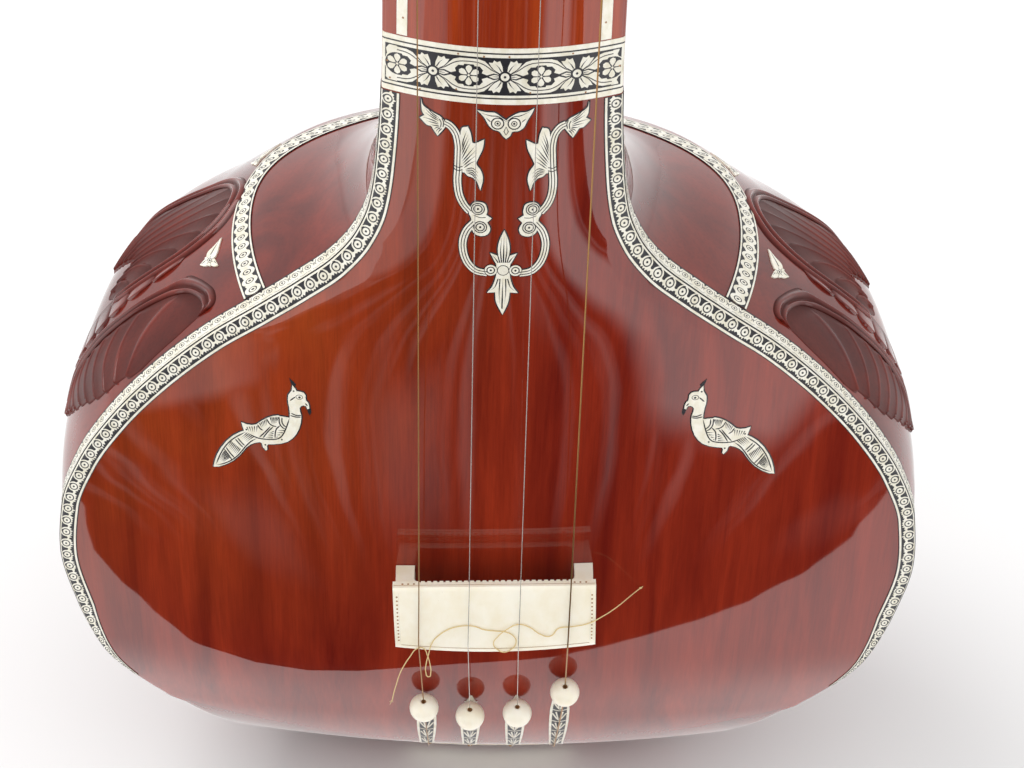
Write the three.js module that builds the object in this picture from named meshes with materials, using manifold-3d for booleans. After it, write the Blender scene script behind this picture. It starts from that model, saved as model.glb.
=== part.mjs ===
// Tanpura: a long-necked drone lute with four strings, upright on the flat under its gourd.
// Millimetres. +Z runs up the neck, the sounding face looks towards -Y, and the origin is the centre of the
// base flat.

import * as THREE from "three";
import { mergeVertices } from "three/addons/utils/BufferGeometryUtils.js";
import Module from "manifold-3d";

const wasm = await Module();
wasm.setup();

// Body
const body_width = 399;
const body_depth = 236;
const base_depth = 92;
const joint_height = 420;
const shoulder_bulge = 48;
const base_recede = 58;
const face_crown = 13;
const face_thickness = 4;
const gourd_wall = 8.5;
const chin_low = 22;
const chin_rise = 42;
const chin_corner_drop = 4;
const chin_gap = 0.7;
const seat_gap = 0.3;
const cut_overrun = 1;

// Neck and head
const neck_width_at_joint = 98;
const neck_width_at_head = 88;
const neck_depth_at_joint = 75;
const neck_depth_at_head = 62;
const neck_length = 710;
const neck_wall = 9;
const head_length = 180;
const cap_height = 9;
const cap_inset = 5;

// Shoulder: the line where the neck root meets the gourd, and the carved band over it
const shoulder_side_share = 0.7142857;
const shoulder_back_share = 0.0404762;
const shoulder_band_width = 10;
const shoulder_flower_share = 0.0142857;
const shoulder_flower_lift = 0.7;

// Inlay
const inlay_lift = 0.6;
const inlay_thickness = 0.8;
const joint_band_width = 25;
const rim_band_inset = 0.8;
const rim_band_width = 7.4;
const rim_band_low = 68;
const side_band_setback = 2.2;
const side_band_width = 5;
const side_band_lift = 0.6;
const neck_strip_inset = 6;
const neck_strip_width = 4.3;
const trim_gap = 0.6;

// Bridge
const bridge_height = 23;
const bridge_width = 92.3;
const bridge_depth = 35.5;
const bridge_center_height = 155.3;
const bridge_shift = 3;
const bridge_turn_degrees = 2.2;
const bridge_plate_thickness = 5;
const bridge_plate_drop = 1.6;
const bridge_tail_bow = 3.7;
const bridge_foot_width = 8.3;
const bridge_foot_inset = 1.1;
const bridge_foot_depth = 27;
const bridge_web_thickness = 4;

// Nut and string guide
const nut_to_head = 38;
const nut_height = 9;
const nut_thickness = 6;
const nut_side_inset = 2;
const guide_spacing = 22;
const guide_height = 12;
const guide_thickness = 7;
const guide_hole_radius = 1.4;

// Strings, the outer left one first
const string_diameters = [0.55, 0.35, 0.35, 0.7];
const outer_string_spread = 68.6;
const inner_string_spread = 23.2;
const string_shift = 2.6;
const nut_shift = -2;
const nut_spread_share = 1.08;
const tail_spread_share = 0.92;
const string_over_plate = 1.2;

// Tuning beads
const bead_radius = 7;
const bead_hole_radius = 0.85;
const bead_mouth_radius = 2;
const bead_mouth_depth = 1.6;
const bead_heights = [81.5, 75.5, 78.5, 95.5];
const bead_spread_share = 0.98;
const bead_shift = 4.3;

// Guards under the strings at the lower edge, and the tailpiece
const guard_half_width = 4.8;
const guard_low = 27;
const guard_tops = [80, 82, 83, 92];
const tail_low = 5;
const tail_high = 19;
const tail_width = 84;
const tail_thickness = 4;
const tail_block_low = 92;
const tail_block_high = 118;
const tail_block_width = 110;
const tail_block_thickness = 16;

// Pegs
const peg_shaft_radius = 5.5;
const peg_clearance = 0.3;
const peg_reach = 34;
const peg_exposed = 20;
const peg_collar_radius = 8.5;
const peg_collar_length = 4;
const peg_knob_radius = 14.5;
const peg_knob_length = 36;
const peg_stud_radius = 4;
const peg_stud_length = 6;
const side_peg_rise = 52;
const side_peg_setback = 11;
const front_peg_rise = 116;
const front_peg_spread = 44;
const winding_turns = 3;
const winding_pitch = 1.5;
const winding_standoff = 0.3;
const winding_start = 6;
const string_clearance = 0.3;

// Cotton thread under the strings
const thread_diameter = 0.5;
const thread_lift = 0.3;

// Carved leaves
const leaf_lift = 0.95;
const leaf_relief = 2.4;
const leaf_groove_depth = 0.9;

// Inlaid figures on the face, those on the stem placed from the joint
const scroll_under_band = 1.5;
const scroll_height_share = 0.1952381;
const finial_low_share = 0.7285714;
const finial_height_share = 0.102381;
const owl_under_joint = 31;
const owl_height = 14;
const peacock_size = 46;
const peacock_x = 102;
const peacock_height_share = 0.5714286;

// Shares of the joint height, and how far each size has opened from its value at the joint
const rim_shares = [
  [0, 0.09], [0.03, 0.34], [0.072, 0.53], [0.152, 0.727], [0.238, 0.898],
  [0.31, 0.964], [0.386, 1], [0.452, 0.98], [0.512, 0.914], [0.571, 0.805],
  [0.624, 0.673], [0.679, 0.5], [0.714, 0.36], [0.743, 0.247], [0.774, 0.14],
  [0.805, 0.074], [0.838, 0.037], [0.881, 0.018], [0.957, 0.003], [1, 0],
];
const depth_shares = [
  [0.071, 0.45], [0.152, 0.7], [0.262, 0.894], [0.386, 1], [0.512, 0.915], [0.624, 0.87],
  [0.69, 0.73], [0.738, 0.595], [0.786, 0.346], [0.821, 0.21], [0.869, 0.075], [1, 0],
];
const bulge_shares = [
  [0, 0], [0.071, 0.08], [0.152, 0.125], [0.262, 0.167], [0.386, 0.33], [0.512, 0.73],
  [0.624, 1], [0.69, 0.83], [0.738, 0.83], [0.786, 0.46], [0.821, 0.29], [0.869, 0.12], [1, 0],
];
const recede_shares = [
  [0, 1], [0.052, 0.6], [0.071, 0.46], [0.152, 0.18], [0.262, 0.016], [0.386, 0], [1, 0],
];

// Mesh density
const face_columns = 16;
const face_rows = 20;
const back_columns = 20;
const rim_columns = 9;
const cup_rows = 12;
const shoulder_rows = 11;
const neck_columns = 14;
const neck_back_columns = 18;
const string_sides = 6;
const turned_sides = 12;
const coil_steps = 12;
const coil_sides = 5;
const thread_sides = 8;
const neck_rows = 4;
const rim_band_rows = 32;
const side_band_rows = 28;
const strip_rows = 8;
const tail_rows = 3;
const tail_columns = 8;
const plate_rows = 12;
const plate_columns = 8;
const leaf_rows = 5;
const bead_arcs = 6;

const joint_z = joint_height;
const head_z = joint_z + neck_length;
const top_z = head_z + head_length;
const crown_step = face_thickness + face_crown;
const rim_stand = base_recede + (base_depth - crown_step) / 2;
const nut_z = head_z - nut_to_head;
const guide_z = nut_z + guide_spacing;
const shoulder_side_height = shoulder_side_share * joint_z;
const shoulder_flower_radius = shoulder_flower_share * joint_z;
const shoulder_back_rise = shoulder_back_share * joint_z;
const scroll_height = scroll_height_share * joint_z;
const scroll_low = joint_z - joint_band_width / 2 - scroll_under_band - scroll_height;
const finial_low = finial_low_share * joint_z;
const finial_height = finial_height_share * joint_z;
const owl_low = joint_z - owl_under_joint;
const peacock_z = peacock_height_share * joint_z;
const base_depth_share = (base_depth - neck_depth_at_joint) / (body_depth - neck_depth_at_joint);
const opened_depth_shares = [[0, base_depth_share], ...depth_shares];
const half_turn = Math.PI;
const full_turn = 2 * Math.PI;
const quarter_turn = Math.PI / 2;

const tanpura = new THREE.Group();

const finishes = {
  lacquer: { color: 0x7a2413, roughness: 0.22, metalness: 0 },
  neckwood: { color: 0x8a2f15, roughness: 0.24, metalness: 0 },
  bone: { color: 0xe9dfc4, roughness: 0.4, metalness: 0 },
  inlay: { color: 0xe6dcc0, roughness: 0.38, metalness: 0 },
  ebony: { color: 0x241511, roughness: 0.35, metalness: 0 },
  steel: { color: 0xb9bcc0, roughness: 0.25, metalness: 1 },
  bronze: { color: 0xb98a4a, roughness: 0.28, metalness: 1 },
  pine: { color: 0xb98d5c, roughness: 0.7, metalness: 0 },
  cotton: { color: 0xefe8d6, roughness: 0.9, metalness: 0 },
};

// Adds one named mesh to the instrument.
function add(name, geometry, finish) {
  const mesh = new THREE.Mesh(geometry, new THREE.MeshStandardMaterial(finishes[finish]));
  mesh.name = name;
  tanpura.add(mesh);
}

const mix = THREE.MathUtils.lerp;

// Reads a table of [place, value] rows at a place, on one smooth curve without overshoot.
function read(table, place) {
  const last = table.length - 1;
  const at = Math.min(Math.max(place, table[0][0]), table[last][0]);
  let i = 0;
  while (i < last - 1 && at > table[i + 1][0]) i += 1;
  const slope = (k) => (table[k + 1][1] - table[k][1]) / (table[k + 1][0] - table[k][0]);
  const tangent = (k) => {
    if (k === 0) return slope(0);
    if (k === last) return slope(last - 1);
    const before = slope(k - 1);
    const after = slope(k);
    return before * after <= 0 ? 0 : (2 * before * after) / (before + after);
  };
  const width = table[i + 1][0] - table[i][0];
  const t = (at - table[i][0]) / width;
  const t2 = t * t;
  const t3 = t2 * t;
  return (2 * t3 - 3 * t2 + 1) * table[i][1] + (t3 - 2 * t2 + t) * width * tangent(i)
    + (3 * t2 - 2 * t3) * table[i + 1][1] + (t3 - t2) * width * tangent(i + 1);
}

// Half the width of the face at a height.
function rimHalf(z) {
  if (z > joint_z) return mix(neck_width_at_joint, neck_width_at_head, (z - joint_z) / neck_length) / 2;
  const half_neck = neck_width_at_joint / 2;
  return half_neck + (body_width / 2 - half_neck) * read(rim_shares, z / joint_z);
}

// Where the edge of the face stands in Y at a height.
function rimY(z) {
  return base_recede * read(recede_shares, z / joint_z) - rim_stand;
}

// How far the back stands behind the edge of the face.
function backDepth(z) {
  if (z > joint_z) return mix(neck_depth_at_joint, neck_depth_at_head, (z - joint_z) / neck_length);
  return mix(neck_depth_at_joint, body_depth, read(opened_depth_shares, z / joint_z));
}

// How far the side swells past the edge of the face.
function bulge(z) {
  return z > joint_z ? 0 : shoulder_bulge * read(bulge_shares, z / joint_z);
}

// A point of the sounding face or of the neck's front, lifted off it towards -Y.
function onFace(x, z, lift = 0) {
  const u = x / rimHalf(z);
  return new THREE.Vector3(x, rimY(z) - face_thickness - face_crown * (1 - u * u) - lift, z);
}

// A point of the back. The turn runs from 0 at the right edge over the back to half a turn at the left edge.
function backPoint(turn, z) {
  const x = rimHalf(z) * Math.cos(turn) + bulge(z) * Math.sin(2 * turn);
  return new THREE.Vector3(x, rimY(z) + backDepth(z) * Math.sin(turn), z);
}

const probe_turn = 0.01;
const probe_share = 0.002;

// The outward direction of the back at a place.
function backNormal(turn, z) {
  const rise = probe_share * joint_height;
  const across = backPoint(turn + probe_turn, z).sub(backPoint(turn - probe_turn, z));
  const up = backPoint(turn, z + rise).sub(backPoint(turn, z - rise));
  return across.cross(up).normalize();
}

// A point lifted off the back along its outward direction.
function onBack(turn, z, lift = 0) {
  return backPoint(turn, z).addScaledVector(backNormal(turn, z), lift);
}

// A point of the back drawn in level by a wall, so that the edge it makes is a flat seat.
function drawnIn(turn, z, wall) {
  const inward = backNormal(turn, z).setZ(0).normalize();
  if (Math.sin(turn) < probe_turn) inward.setY(0).normalize();
  return backPoint(turn, z).addScaledVector(inward, -wall);
}

// Closes a list of points and triangles into a geometry whose faces look outwards.
function closed(points, triangles) {
  let volume = 0;
  const cross = new THREE.Vector3();
  for (const [a, b, c] of triangles) {
    volume += points[a].dot(cross.crossVectors(points[b], points[c]));
  }
  const turned = volume < 0 ? triangles.map(([a, b, c]) => [a, c, b]) : triangles;
  const geometry = new THREE.BufferGeometry().setFromPoints(points);
  geometry.setIndex(turned.flat());
  geometry.computeVertexNormals();
  return geometry;
}

// A sheet with two faces, each given over rows and columns, closed along its four edges.
function sheet(rows, columns, frontAt, backAt) {
  const points = [];
  const triangles = [];
  const wide = columns + 1;
  const layer = (rows + 1) * wide;
  for (const at of [frontAt, backAt]) {
    for (let r = 0; r <= rows; r += 1) {
      for (let c = 0; c <= columns; c += 1) points.push(at(r / rows, c / columns));
    }
  }
  const quad = (a, b, c, d) => triangles.push([a, b, c], [a, c, d]);
  const front = (r, c) => r * wide + c;
  const back = (r, c) => layer + r * wide + c;
  for (let r = 0; r < rows; r += 1) {
    for (let c = 0; c < columns; c += 1) {
      quad(front(r, c), front(r, c + 1), front(r + 1, c + 1), front(r + 1, c));
      quad(back(r, c), back(r + 1, c), back(r + 1, c + 1), back(r, c + 1));
    }
    quad(front(r, 0), front(r + 1, 0), back(r + 1, 0), back(r, 0));
    quad(front(r, columns), back(r, columns), back(r + 1, columns), front(r + 1, columns));
  }
  for (let c = 0; c < columns; c += 1) {
    quad(front(0, c), back(0, c), back(0, c + 1), front(0, c + 1));
    quad(front(rows, c), front(rows, c + 1), back(rows, c + 1), back(rows, c));
  }
  return closed(points, triangles);
}

// A solid through closed rings of points, with a fan over each end.
function loft(rings) {
  const points = rings.flat();
  const triangles = [];
  const count = rings[0].length;
  for (let r = 0; r < rings.length - 1; r += 1) {
    for (let c = 0; c < count; c += 1) {
      const a = r * count + c;
      const b = r * count + ((c + 1) % count);
      triangles.push([a, b, b + count], [a, b + count, a + count]);
    }
  }
  const cap = (start, flip) => {
    const middle = new THREE.Vector3();
    for (let c = 0; c < count; c += 1) middle.add(points[start + c]);
    points.push(middle.divideScalar(count));
    for (let c = 0; c < count; c += 1) {
      const pair = [start + c, start + ((c + 1) % count)];
      triangles.push(flip ? [pair[1], pair[0], points.length - 1] : [...pair, points.length - 1]);
    }
  };
  cap(0, true);
  cap((rings.length - 1) * count, false);
  return closed(points, triangles);
}

// A thin plate with a flat outline, laid on a curved surface.
function plate(outline, place, lift = inlay_lift, thickness = inlay_thickness) {
  const flat = outline.map(([x, y]) => new THREE.Vector2(x, y));
  if (THREE.ShapeUtils.isClockWise(flat)) flat.reverse();
  const faces = THREE.ShapeUtils.triangulateShape(flat, []);
  const count = flat.length;
  const points = [];
  for (const height of [lift, lift + thickness]) {
    for (const p of flat) points.push(place(p.x, p.y, height));
  }
  const triangles = faces.map(([a, b, c]) => [a, c, b]);
  for (const [a, b, c] of faces) triangles.push([a + count, b + count, c + count]);
  for (let i = 0; i < count; i += 1) {
    const next = (i + 1) % count;
    triangles.push([i, next, next + count], [i, next + count, i + count]);
  }
  return closed(points, triangles);
}

// Keeps a place that lies on a step from being read as the step before it.
const step_tolerance = 1e-9;

// A route through given points, one step from each to the next.
class Route extends THREE.Curve {
  constructor(points) {
    super();
    this.points = points;
  }

  getPoint(t, target = new THREE.Vector3()) {
    const span = this.points.length - 1;
    const i = Math.min(Math.floor(t * span + step_tolerance), span - 1);
    return target.lerpVectors(this.points[i], this.points[i + 1], t * span - i);
  }

  getPointAt(t, target) {
    return this.getPoint(t, target);
  }

  getTangentAt(t, target = new THREE.Vector3()) {
    const span = this.points.length - 1;
    const i = Math.round(t * span);
    const before = this.points[Math.max(i - 1, 0)];
    const after = this.points[Math.min(i + 1, span)];
    return target.subVectors(after, before).normalize();
  }
}

// A round tube along a route of points.
function tube(points, radius, sides = string_sides) {
  const section = new THREE.Shape();
  for (let i = 0; i < sides; i += 1) {
    const turn = (full_turn * i) / sides;
    if (i === 0) section.moveTo(radius, 0);
    else section.lineTo(radius * Math.cos(turn), radius * Math.sin(turn));
  }
  const options = { steps: points.length - 1, extrudePath: new Route(points), curveSegments: 1 };
  return new THREE.ExtrudeGeometry(section, options);
}

// A solid for joining and cutting, from a geometry.
function solidOf(geometry) {
  const bare = new THREE.BufferGeometry();
  bare.setAttribute("position", geometry.getAttribute("position"));
  if (geometry.index) bare.setIndex(geometry.index);
  const merged = mergeVertices(bare);
  return new wasm.Manifold(new wasm.Mesh({
    numProp: 3,
    vertProperties: new Float32Array(merged.attributes.position.array),
    triVerts: new Uint32Array(merged.index.array),
  }));
}

// A geometry from a solid.
function geometryOf(solid) {
  const mesh = solid.getMesh();
  const geometry = new THREE.BufferGeometry();
  geometry.setAttribute("position", new THREE.BufferAttribute(mesh.vertProperties, 3));
  geometry.setIndex(new THREE.BufferAttribute(mesh.triVerts, 1));
  return geometry;
}

// A turned piece about +Y from a profile of [radius, place along the axis] rows.
function turned(profile, sides = turned_sides) {
  return new THREE.LatheGeometry(profile.map(([r, y]) => new THREE.Vector2(r, y)), sides);
}

// Height of the lower edge of the wooden face at a share of its half width.
function chinEdge(u) {
  return chin_low + chin_rise * u * u;
}

// Height of the line between gourd and neck root.
function shoulderLine(turn) {
  return shoulder_side_height + shoulder_back_rise * Math.sin(turn);
}

// How fast the rim reaches the full thickness of the face at the ends of the chin, how much of the base
// belongs to each side of the rim, and how far the rows of the cup crowd to its ends.
const corner_ease_share = 4;
const side_share = 0.12;
const end_density_share = 0.65;

// The gourd: a cup whose open rim runs under the neck root, down both edges of the face and round its chin.
function makeGourd() {
  const chinPoint = (turn, z) => {
    const u = Math.cos(turn);
    const ease = Math.min(1, Math.abs(Math.sin(turn)) * corner_ease_share);
    const y = rimY(z) - face_thickness * ease - face_crown * (1 - u * u);
    return new THREE.Vector3(u * rimHalf(z), y, z);
  };
  const at = (turn, z) => (turn > half_turn && turn < full_turn ? chinPoint(turn, z) : backPoint(turn, z));
  const wrap = (turn) => (turn + full_turn) % full_turn;
  const rim = [];
  const low = chinEdge(1) - chin_corner_drop;
  for (let i = 0; i < back_columns; i += 1) {
    const s = i / back_columns;
    const turn = half_turn * s;
    rim.push({ turn, z: shoulderLine(turn), foot: half_turn * mix(side_share, 1 - side_share, s) });
  }
  for (let i = 0; i < rim_columns; i += 1) {
    const s = i / rim_columns;
    const foot = half_turn * mix(1 - side_share, 1, s);
    rim.push({ turn: half_turn, z: mix(shoulderLine(0), low, s), foot });
  }
  for (let i = 0; i < face_columns; i += 1) {
    const u = -1 + (2 * i) / face_columns;
    const s = i / face_columns;
    const turn = full_turn - Math.acos(u);
    rim.push({ turn, z: chinEdge(u) - chin_gap, foot: half_turn * mix(1, 2, s) });
  }
  for (let i = 0; i < rim_columns; i += 1) {
    const s = i / rim_columns;
    const foot = half_turn * mix(2, 2 + side_share, s);
    rim.push({ turn: full_turn, z: mix(low, shoulderLine(0), s), foot });
  }
  const count = rim.length;
  const place = (row, column) => {
    const v = row / cup_rows;
    const { turn, z, foot } = rim[column];
    const rise = mix(v, (1 - Math.cos(half_turn * v)) / 2, end_density_share);
    return [mix(foot, turn, Math.sqrt(v)), z * rise];
  };
  const outer = [];
  for (let row = 0; row <= cup_rows; row += 1) {
    for (let c = 0; c < count; c += 1) {
      const [turn, z] = place(row, c);
      outer.push(at(wrap(turn), z));
    }
  }
  const normal = (row, c) => {
    const here = row * count;
    const left = outer[here + ((c + count - 1) % count)];
    const right = outer[here + ((c + 1) % count)];
    const down = outer[Math.max(row - 1, 0) * count + c];
    const up = outer[Math.min(row + 1, cup_rows) * count + c];
    return right.clone().sub(left).cross(up.clone().sub(down)).normalize();
  };
  const inner = [];
  for (let row = 0; row <= cup_rows; row += 1) {
    for (let c = 0; c < count; c += 1) {
      const p = outer[row * count + c];
      const { turn } = rim[c];
      if (row === cup_rows) {
        const chin = turn > half_turn && turn < full_turn;
        const level = chin ? new THREE.Vector3(0, 1, 0) : drawnIn(turn, p.z, 1).sub(backPoint(turn, p.z));
        inner.push(p.clone().addScaledVector(level, gourd_wall));
      } else if (row === 0) {
        const share = 1 - gourd_wall / (base_depth / 2);
        inner.push(new THREE.Vector3(p.x * share, p.y * share, gourd_wall));
      } else {
        const q = p.clone().addScaledVector(normal(row, c), -gourd_wall);
        q.z = Math.max(q.z, gourd_wall);
        inner.push(q);
      }
    }
  }
  const points = [...outer, ...inner];
  const shift = outer.length;
  const triangles = [];
  const quad = (a, b, c, d) => triangles.push([a, b, c], [a, c, d]);
  for (let row = 0; row < cup_rows; row += 1) {
    for (let c = 0; c < count; c += 1) {
      const n = (c + 1) % count;
      const a = row * count;
      quad(a + c, a + n, a + n + count, a + c + count);
      quad(shift + a + c, shift + a + c + count, shift + a + n + count, shift + a + n);
    }
  }
  const rim_row = cup_rows * count;
  for (let c = 0; c < count; c += 1) {
    const n = (c + 1) % count;
    quad(rim_row + c, rim_row + n, shift + rim_row + n, shift + rim_row + c);
  }
  const foot_outer = points.push(new THREE.Vector3(0, 0, 0)) - 1;
  const foot_inner = points.push(new THREE.Vector3(0, 0, gourd_wall)) - 1;
  for (let c = 0; c < count; c += 1) {
    const n = (c + 1) % count;
    triangles.push([n, c, foot_outer], [shift + c, shift + n, foot_inner]);
  }
  return closed(points, triangles);
}

// How far the rows of the shoulder crowd to its lower edge, where it bends most.
const shoulder_density = 1.4;

// A wall that follows the back from one height to another, open towards the face.
function backWall(rows, columns, lowAt, highAt, wall, low_density) {
  const place = (v, s) => {
    const turn = half_turn * s;
    return [turn, mix(lowAt(turn), highAt(turn), v ** low_density)];
  };
  const outerAt = (v, s) => backPoint(...place(v, s));
  const innerAt = (v, s) => {
    const [turn, z] = place(v, s);
    const edge = v === 0 || v === 1 || s === 0 || s === 1;
    return edge ? drawnIn(turn, z, wall) : onBack(turn, z, -wall);
  };
  return sheet(rows, columns, outerAt, innerAt);
}

// The wooden sounding face, crowned across and rounded back at its lower edge.
function makeSoundboard() {
  const place = (v, s) => {
    const u = -1 + 2 * s;
    const z = mix(chinEdge(u), joint_z - seat_gap, v);
    return [u * rimHalf(z), z];
  };
  const thick = face_thickness - seat_gap;
  return sheet(face_rows, face_columns,
    (v, s) => onFace(...place(v, s)),
    (v, s) => onFace(...place(v, s), -thick));
}

// The space that the sounding face takes, with a gap to its seat, open to the front.
function faceSpace() {
  const place = (v, s) => {
    const u = -1 + 2 * s;
    const z = mix(chinEdge(u) - seat_gap, joint_z, v);
    return [u * (rimHalf(z) + cut_overrun), z];
  };
  return sheet(face_rows, face_columns,
    (v, s) => onFace(...place(v, s), bridge_height),
    (v, s) => onFace(...place(v, s), -face_thickness - seat_gap));
}

// The crowned front of the neck.
function makeNeckFace() {
  const place = (v, s) => {
    const z = mix(joint_z, head_z - seat_gap, v);
    return [(-1 + 2 * s) * rimHalf(z), z];
  };
  return sheet(neck_rows, neck_columns,
    (v, s) => onFace(...place(v, s)),
    (v, s) => onFace(...place(v, s), seat_gap - face_thickness));
}

// The outline of neck and head at a height, drawn in by a margin.
function neckRing(z, margin = 0) {
  const ring = [];
  const half = rimHalf(z);
  const share = 1 - margin / half;
  for (let i = 0; i < neck_back_columns; i += 1) {
    const turn = (half_turn * i) / neck_back_columns;
    const x = half * share * Math.cos(turn);
    const y = rimY(z) + (backDepth(z) - margin) * Math.sin(turn);
    ring.push(new THREE.Vector3(x, y, z));
  }
  for (let i = 0; i <= neck_columns; i += 1) {
    const u = -1 + (2 * i) / neck_columns;
    const p = onFace(u * half, z);
    ring.push(new THREE.Vector3(p.x * share, p.y + margin, z));
  }
  return ring;
}

const string_names = ["1", "2", "3", "4"];
const string_sign_shares = [-1, -1, 1, 1];

// How far a string lies from the middle of the four at the bridge.
function spreadX(index) {
  const spread = index === 0 || index === 3 ? outer_string_spread : inner_string_spread;
  return (string_sign_shares[index] * spread) / 2;
}

// Where a string crosses the bridge, passes through its bead, and meets the tailpiece.
const stringX = (index) => string_shift + spreadX(index);
const beadX = (index) => bead_shift + spreadX(index) * bead_spread_share;
const tailX = (index) => bead_shift + spreadX(index) * tail_spread_share;

// The top of the bridge plate at a distance up from the bridge's centre.
function plateTopY(up) {
  const crest = onFace(0, bridge_center_height).y - bridge_height;
  const share = Math.max(-1, up / (bridge_depth / 2));
  return crest + bridge_plate_drop * share * share;
}

// Turns a piece made about the bridge's centre in the plane of the face, and moves it to its place.
function setBridge(geometry) {
  geometry.rotateY(-THREE.MathUtils.degToRad(bridge_turn_degrees));
  return geometry.translate(bridge_shift, 0, bridge_center_height);
}

// How much of the foot's height the rounded corner under the web takes.
const arch_share = 0.25;

// Bridge feet and the web that joins them under the plate, as one bent outline drawn along Z.
function makeBridgeBase() {
  const half = bridge_width / 2 - bridge_foot_inset;
  const top = plateTopY(0) + bridge_plate_thickness + bridge_plate_drop + seat_gap;
  const under = top + bridge_web_thickness;
  const foot = (x) => onFace(bridge_shift + x, bridge_center_height).y - seat_gap;
  const inner = half - bridge_foot_width;
  const arch = (foot(inner) - under) * arch_share;
  const outline = [
    [-half, top], [half, top], [half, foot(half)], [inner, foot(inner)],
    [inner, under + arch], [inner - arch, under], [-inner + arch, under], [-inner, under + arch],
    [-inner, foot(-inner)], [-half, foot(-half)],
  ];
  const shape = new THREE.Shape(outline.map(([x, y]) => new THREE.Vector2(x, y)));
  const geometry = new THREE.ExtrudeGeometry(shape, { depth: bridge_foot_depth, bevelEnabled: false });
  return setBridge(geometry.translate(0, 0, -bridge_foot_depth / 2));
}

// The bone plate of the bridge, its top gently rounded along the strings and its tail edge bowed.
function makeBridgePlate() {
  const half = bridge_depth / 2;
  const under = plateTopY(0) + bridge_plate_thickness + bridge_plate_drop;
  const place = (v, s) => {
    const u = -1 + 2 * s;
    return [(u * bridge_width) / 2, mix(-half - bridge_tail_bow * (1 - u * u), half, v)];
  };
  const topAt = (v, s) => {
    const [x, up] = place(v, s);
    return new THREE.Vector3(x, plateTopY(up), up);
  };
  const underAt = (v, s) => {
    const [x, up] = place(v, s);
    return new THREE.Vector3(x, under, up);
  };
  return setBridge(sheet(plate_rows, plate_columns, topAt, underAt));
}

// How much lower a bar across the front is at its ends, as a share of its height.
const bar_drop_share = 0.33;

// A bar across the crowned front, its top gently crowned too.
function crossBar(z, height, thickness) {
  const half = rimHalf(z) - nut_side_inset;
  const low = z - thickness / 2;
  const crest = onFace(0, z).y - height;
  return sheet(1, neck_columns,
    (v, s) => {
      const u = -1 + 2 * s;
      return new THREE.Vector3(u * half, crest + bar_drop_share * height * u * u, low + v * thickness);
    },
    (v, s) => onFace((-1 + 2 * s) * half, low + v * thickness, seat_gap));
}

// The string guide: a bar with one hole for each string.
function makeGuide() {
  let solid = solidOf(crossBar(guide_z, guide_height, guide_thickness));
  for (let i = 0; i < 4; i += 1) {
    const { x, y } = guidePoint(i);
    const reach = guide_thickness + 2 * cut_overrun;
    const drill = new THREE.CylinderGeometry(guide_hole_radius, guide_hole_radius, reach, turned_sides);
    drill.rotateX(quarter_turn);
    drill.translate(x, y, guide_z);
    solid = solid.subtract(solidOf(drill));
  }
  return geometryOf(solid);
}

// Where a string crosses the nut.
function nutPoint(index) {
  const x = nut_shift + spreadX(index) * nut_spread_share;
  const u = x / (rimHalf(nut_z) - nut_side_inset);
  const crest = onFace(0, nut_z).y - nut_height * (1 - bar_drop_share * u * u);
  const radius = string_diameters[index] / 2;
  return new THREE.Vector3(x, crest - string_clearance - radius, nut_z);
}

// How far a string drops from nut to guide, as a share of the nut's height.
const guide_drop_share = 0.25;

// Where a string passes the guide.
function guidePoint(index) {
  const over = nutPoint(index);
  return new THREE.Vector3(over.x, over.y + nut_height * guide_drop_share, guide_z);
}

// The peg axes: where each leaves the head, and which way its knob lies.
function pegSeat(index) {
  const outer = index === 0 || index === 3;
  const sign = string_sign_shares[index];
  if (outer) {
    const z = head_z + side_peg_rise;
    const sine = side_peg_setback / backDepth(z);
    const x = sign * rimHalf(z) * Math.sqrt(1 - sine * sine);
    return { at: new THREE.Vector3(x, rimY(z) + side_peg_setback, z), out: new THREE.Vector3(sign, 0, 0) };
  }
  const z = head_z + front_peg_rise;
  const at = onFace((sign * front_peg_spread) / 2, z);
  return { at, out: new THREE.Vector3(0, -1, 0) };
}

// Radius of a winding's middle line.
function windingRadius(index) {
  return peg_shaft_radius + winding_standoff + string_diameters[index] / 2;
}

// Turns a geometry made about +Y so that it runs along a peg, with 0 at the head's wall.
function alongPeg(geometry, index) {
  const { at, out } = pegSeat(index);
  const turn = new THREE.Quaternion().setFromUnitVectors(new THREE.Vector3(0, 1, 0), out);
  geometry.applyQuaternion(turn);
  return geometry.translate(at.x, at.y, at.z);
}

// Profiles of collar, knob and stud: share of the radius, share of the length.
const collar_shares = [[1, 0.25], [1, 0.75], [0.7, 1]];
const knob_shares = [[0.72, 0.14], [0.95, 0.32], [1, 0.5], [0.93, 0.7], [0.7, 0.88]];
const stud_shares = [[1, 0], [1.1, 0.4], [0.7, 0.85], [0, 1]];

// One turned peg: shaft, collar, knob and end stud.
function makePeg(index) {
  const knob = peg_exposed + peg_collar_length;
  const end = knob + peg_knob_length;
  const scaled = (shares, radius, start, length) => shares.map(([a, b]) => [a * radius, start + b * length]);
  const profile = [
    [0, -peg_reach], [peg_shaft_radius, -peg_reach], [peg_shaft_radius, peg_exposed],
    ...scaled(collar_shares, peg_collar_radius, peg_exposed, peg_collar_length),
    ...scaled(knob_shares, peg_knob_radius, knob, peg_knob_length),
    ...scaled(stud_shares, peg_stud_radius, end, peg_stud_length),
  ];
  return alongPeg(turned(profile), index);
}

// The middle line of a winding about +Y.
function windingLine(index) {
  const radius = windingRadius(index);
  const pitch = winding_pitch;
  const line = [];
  const total = winding_turns * coil_steps;
  for (let i = 0; i <= total; i += 1) {
    const turn = (full_turn * i) / coil_steps;
    line.push(new THREE.Vector3(radius * Math.cos(turn), winding_start + (pitch * i) / coil_steps,
      radius * Math.sin(turn)));
  }
  return line;
}

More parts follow.
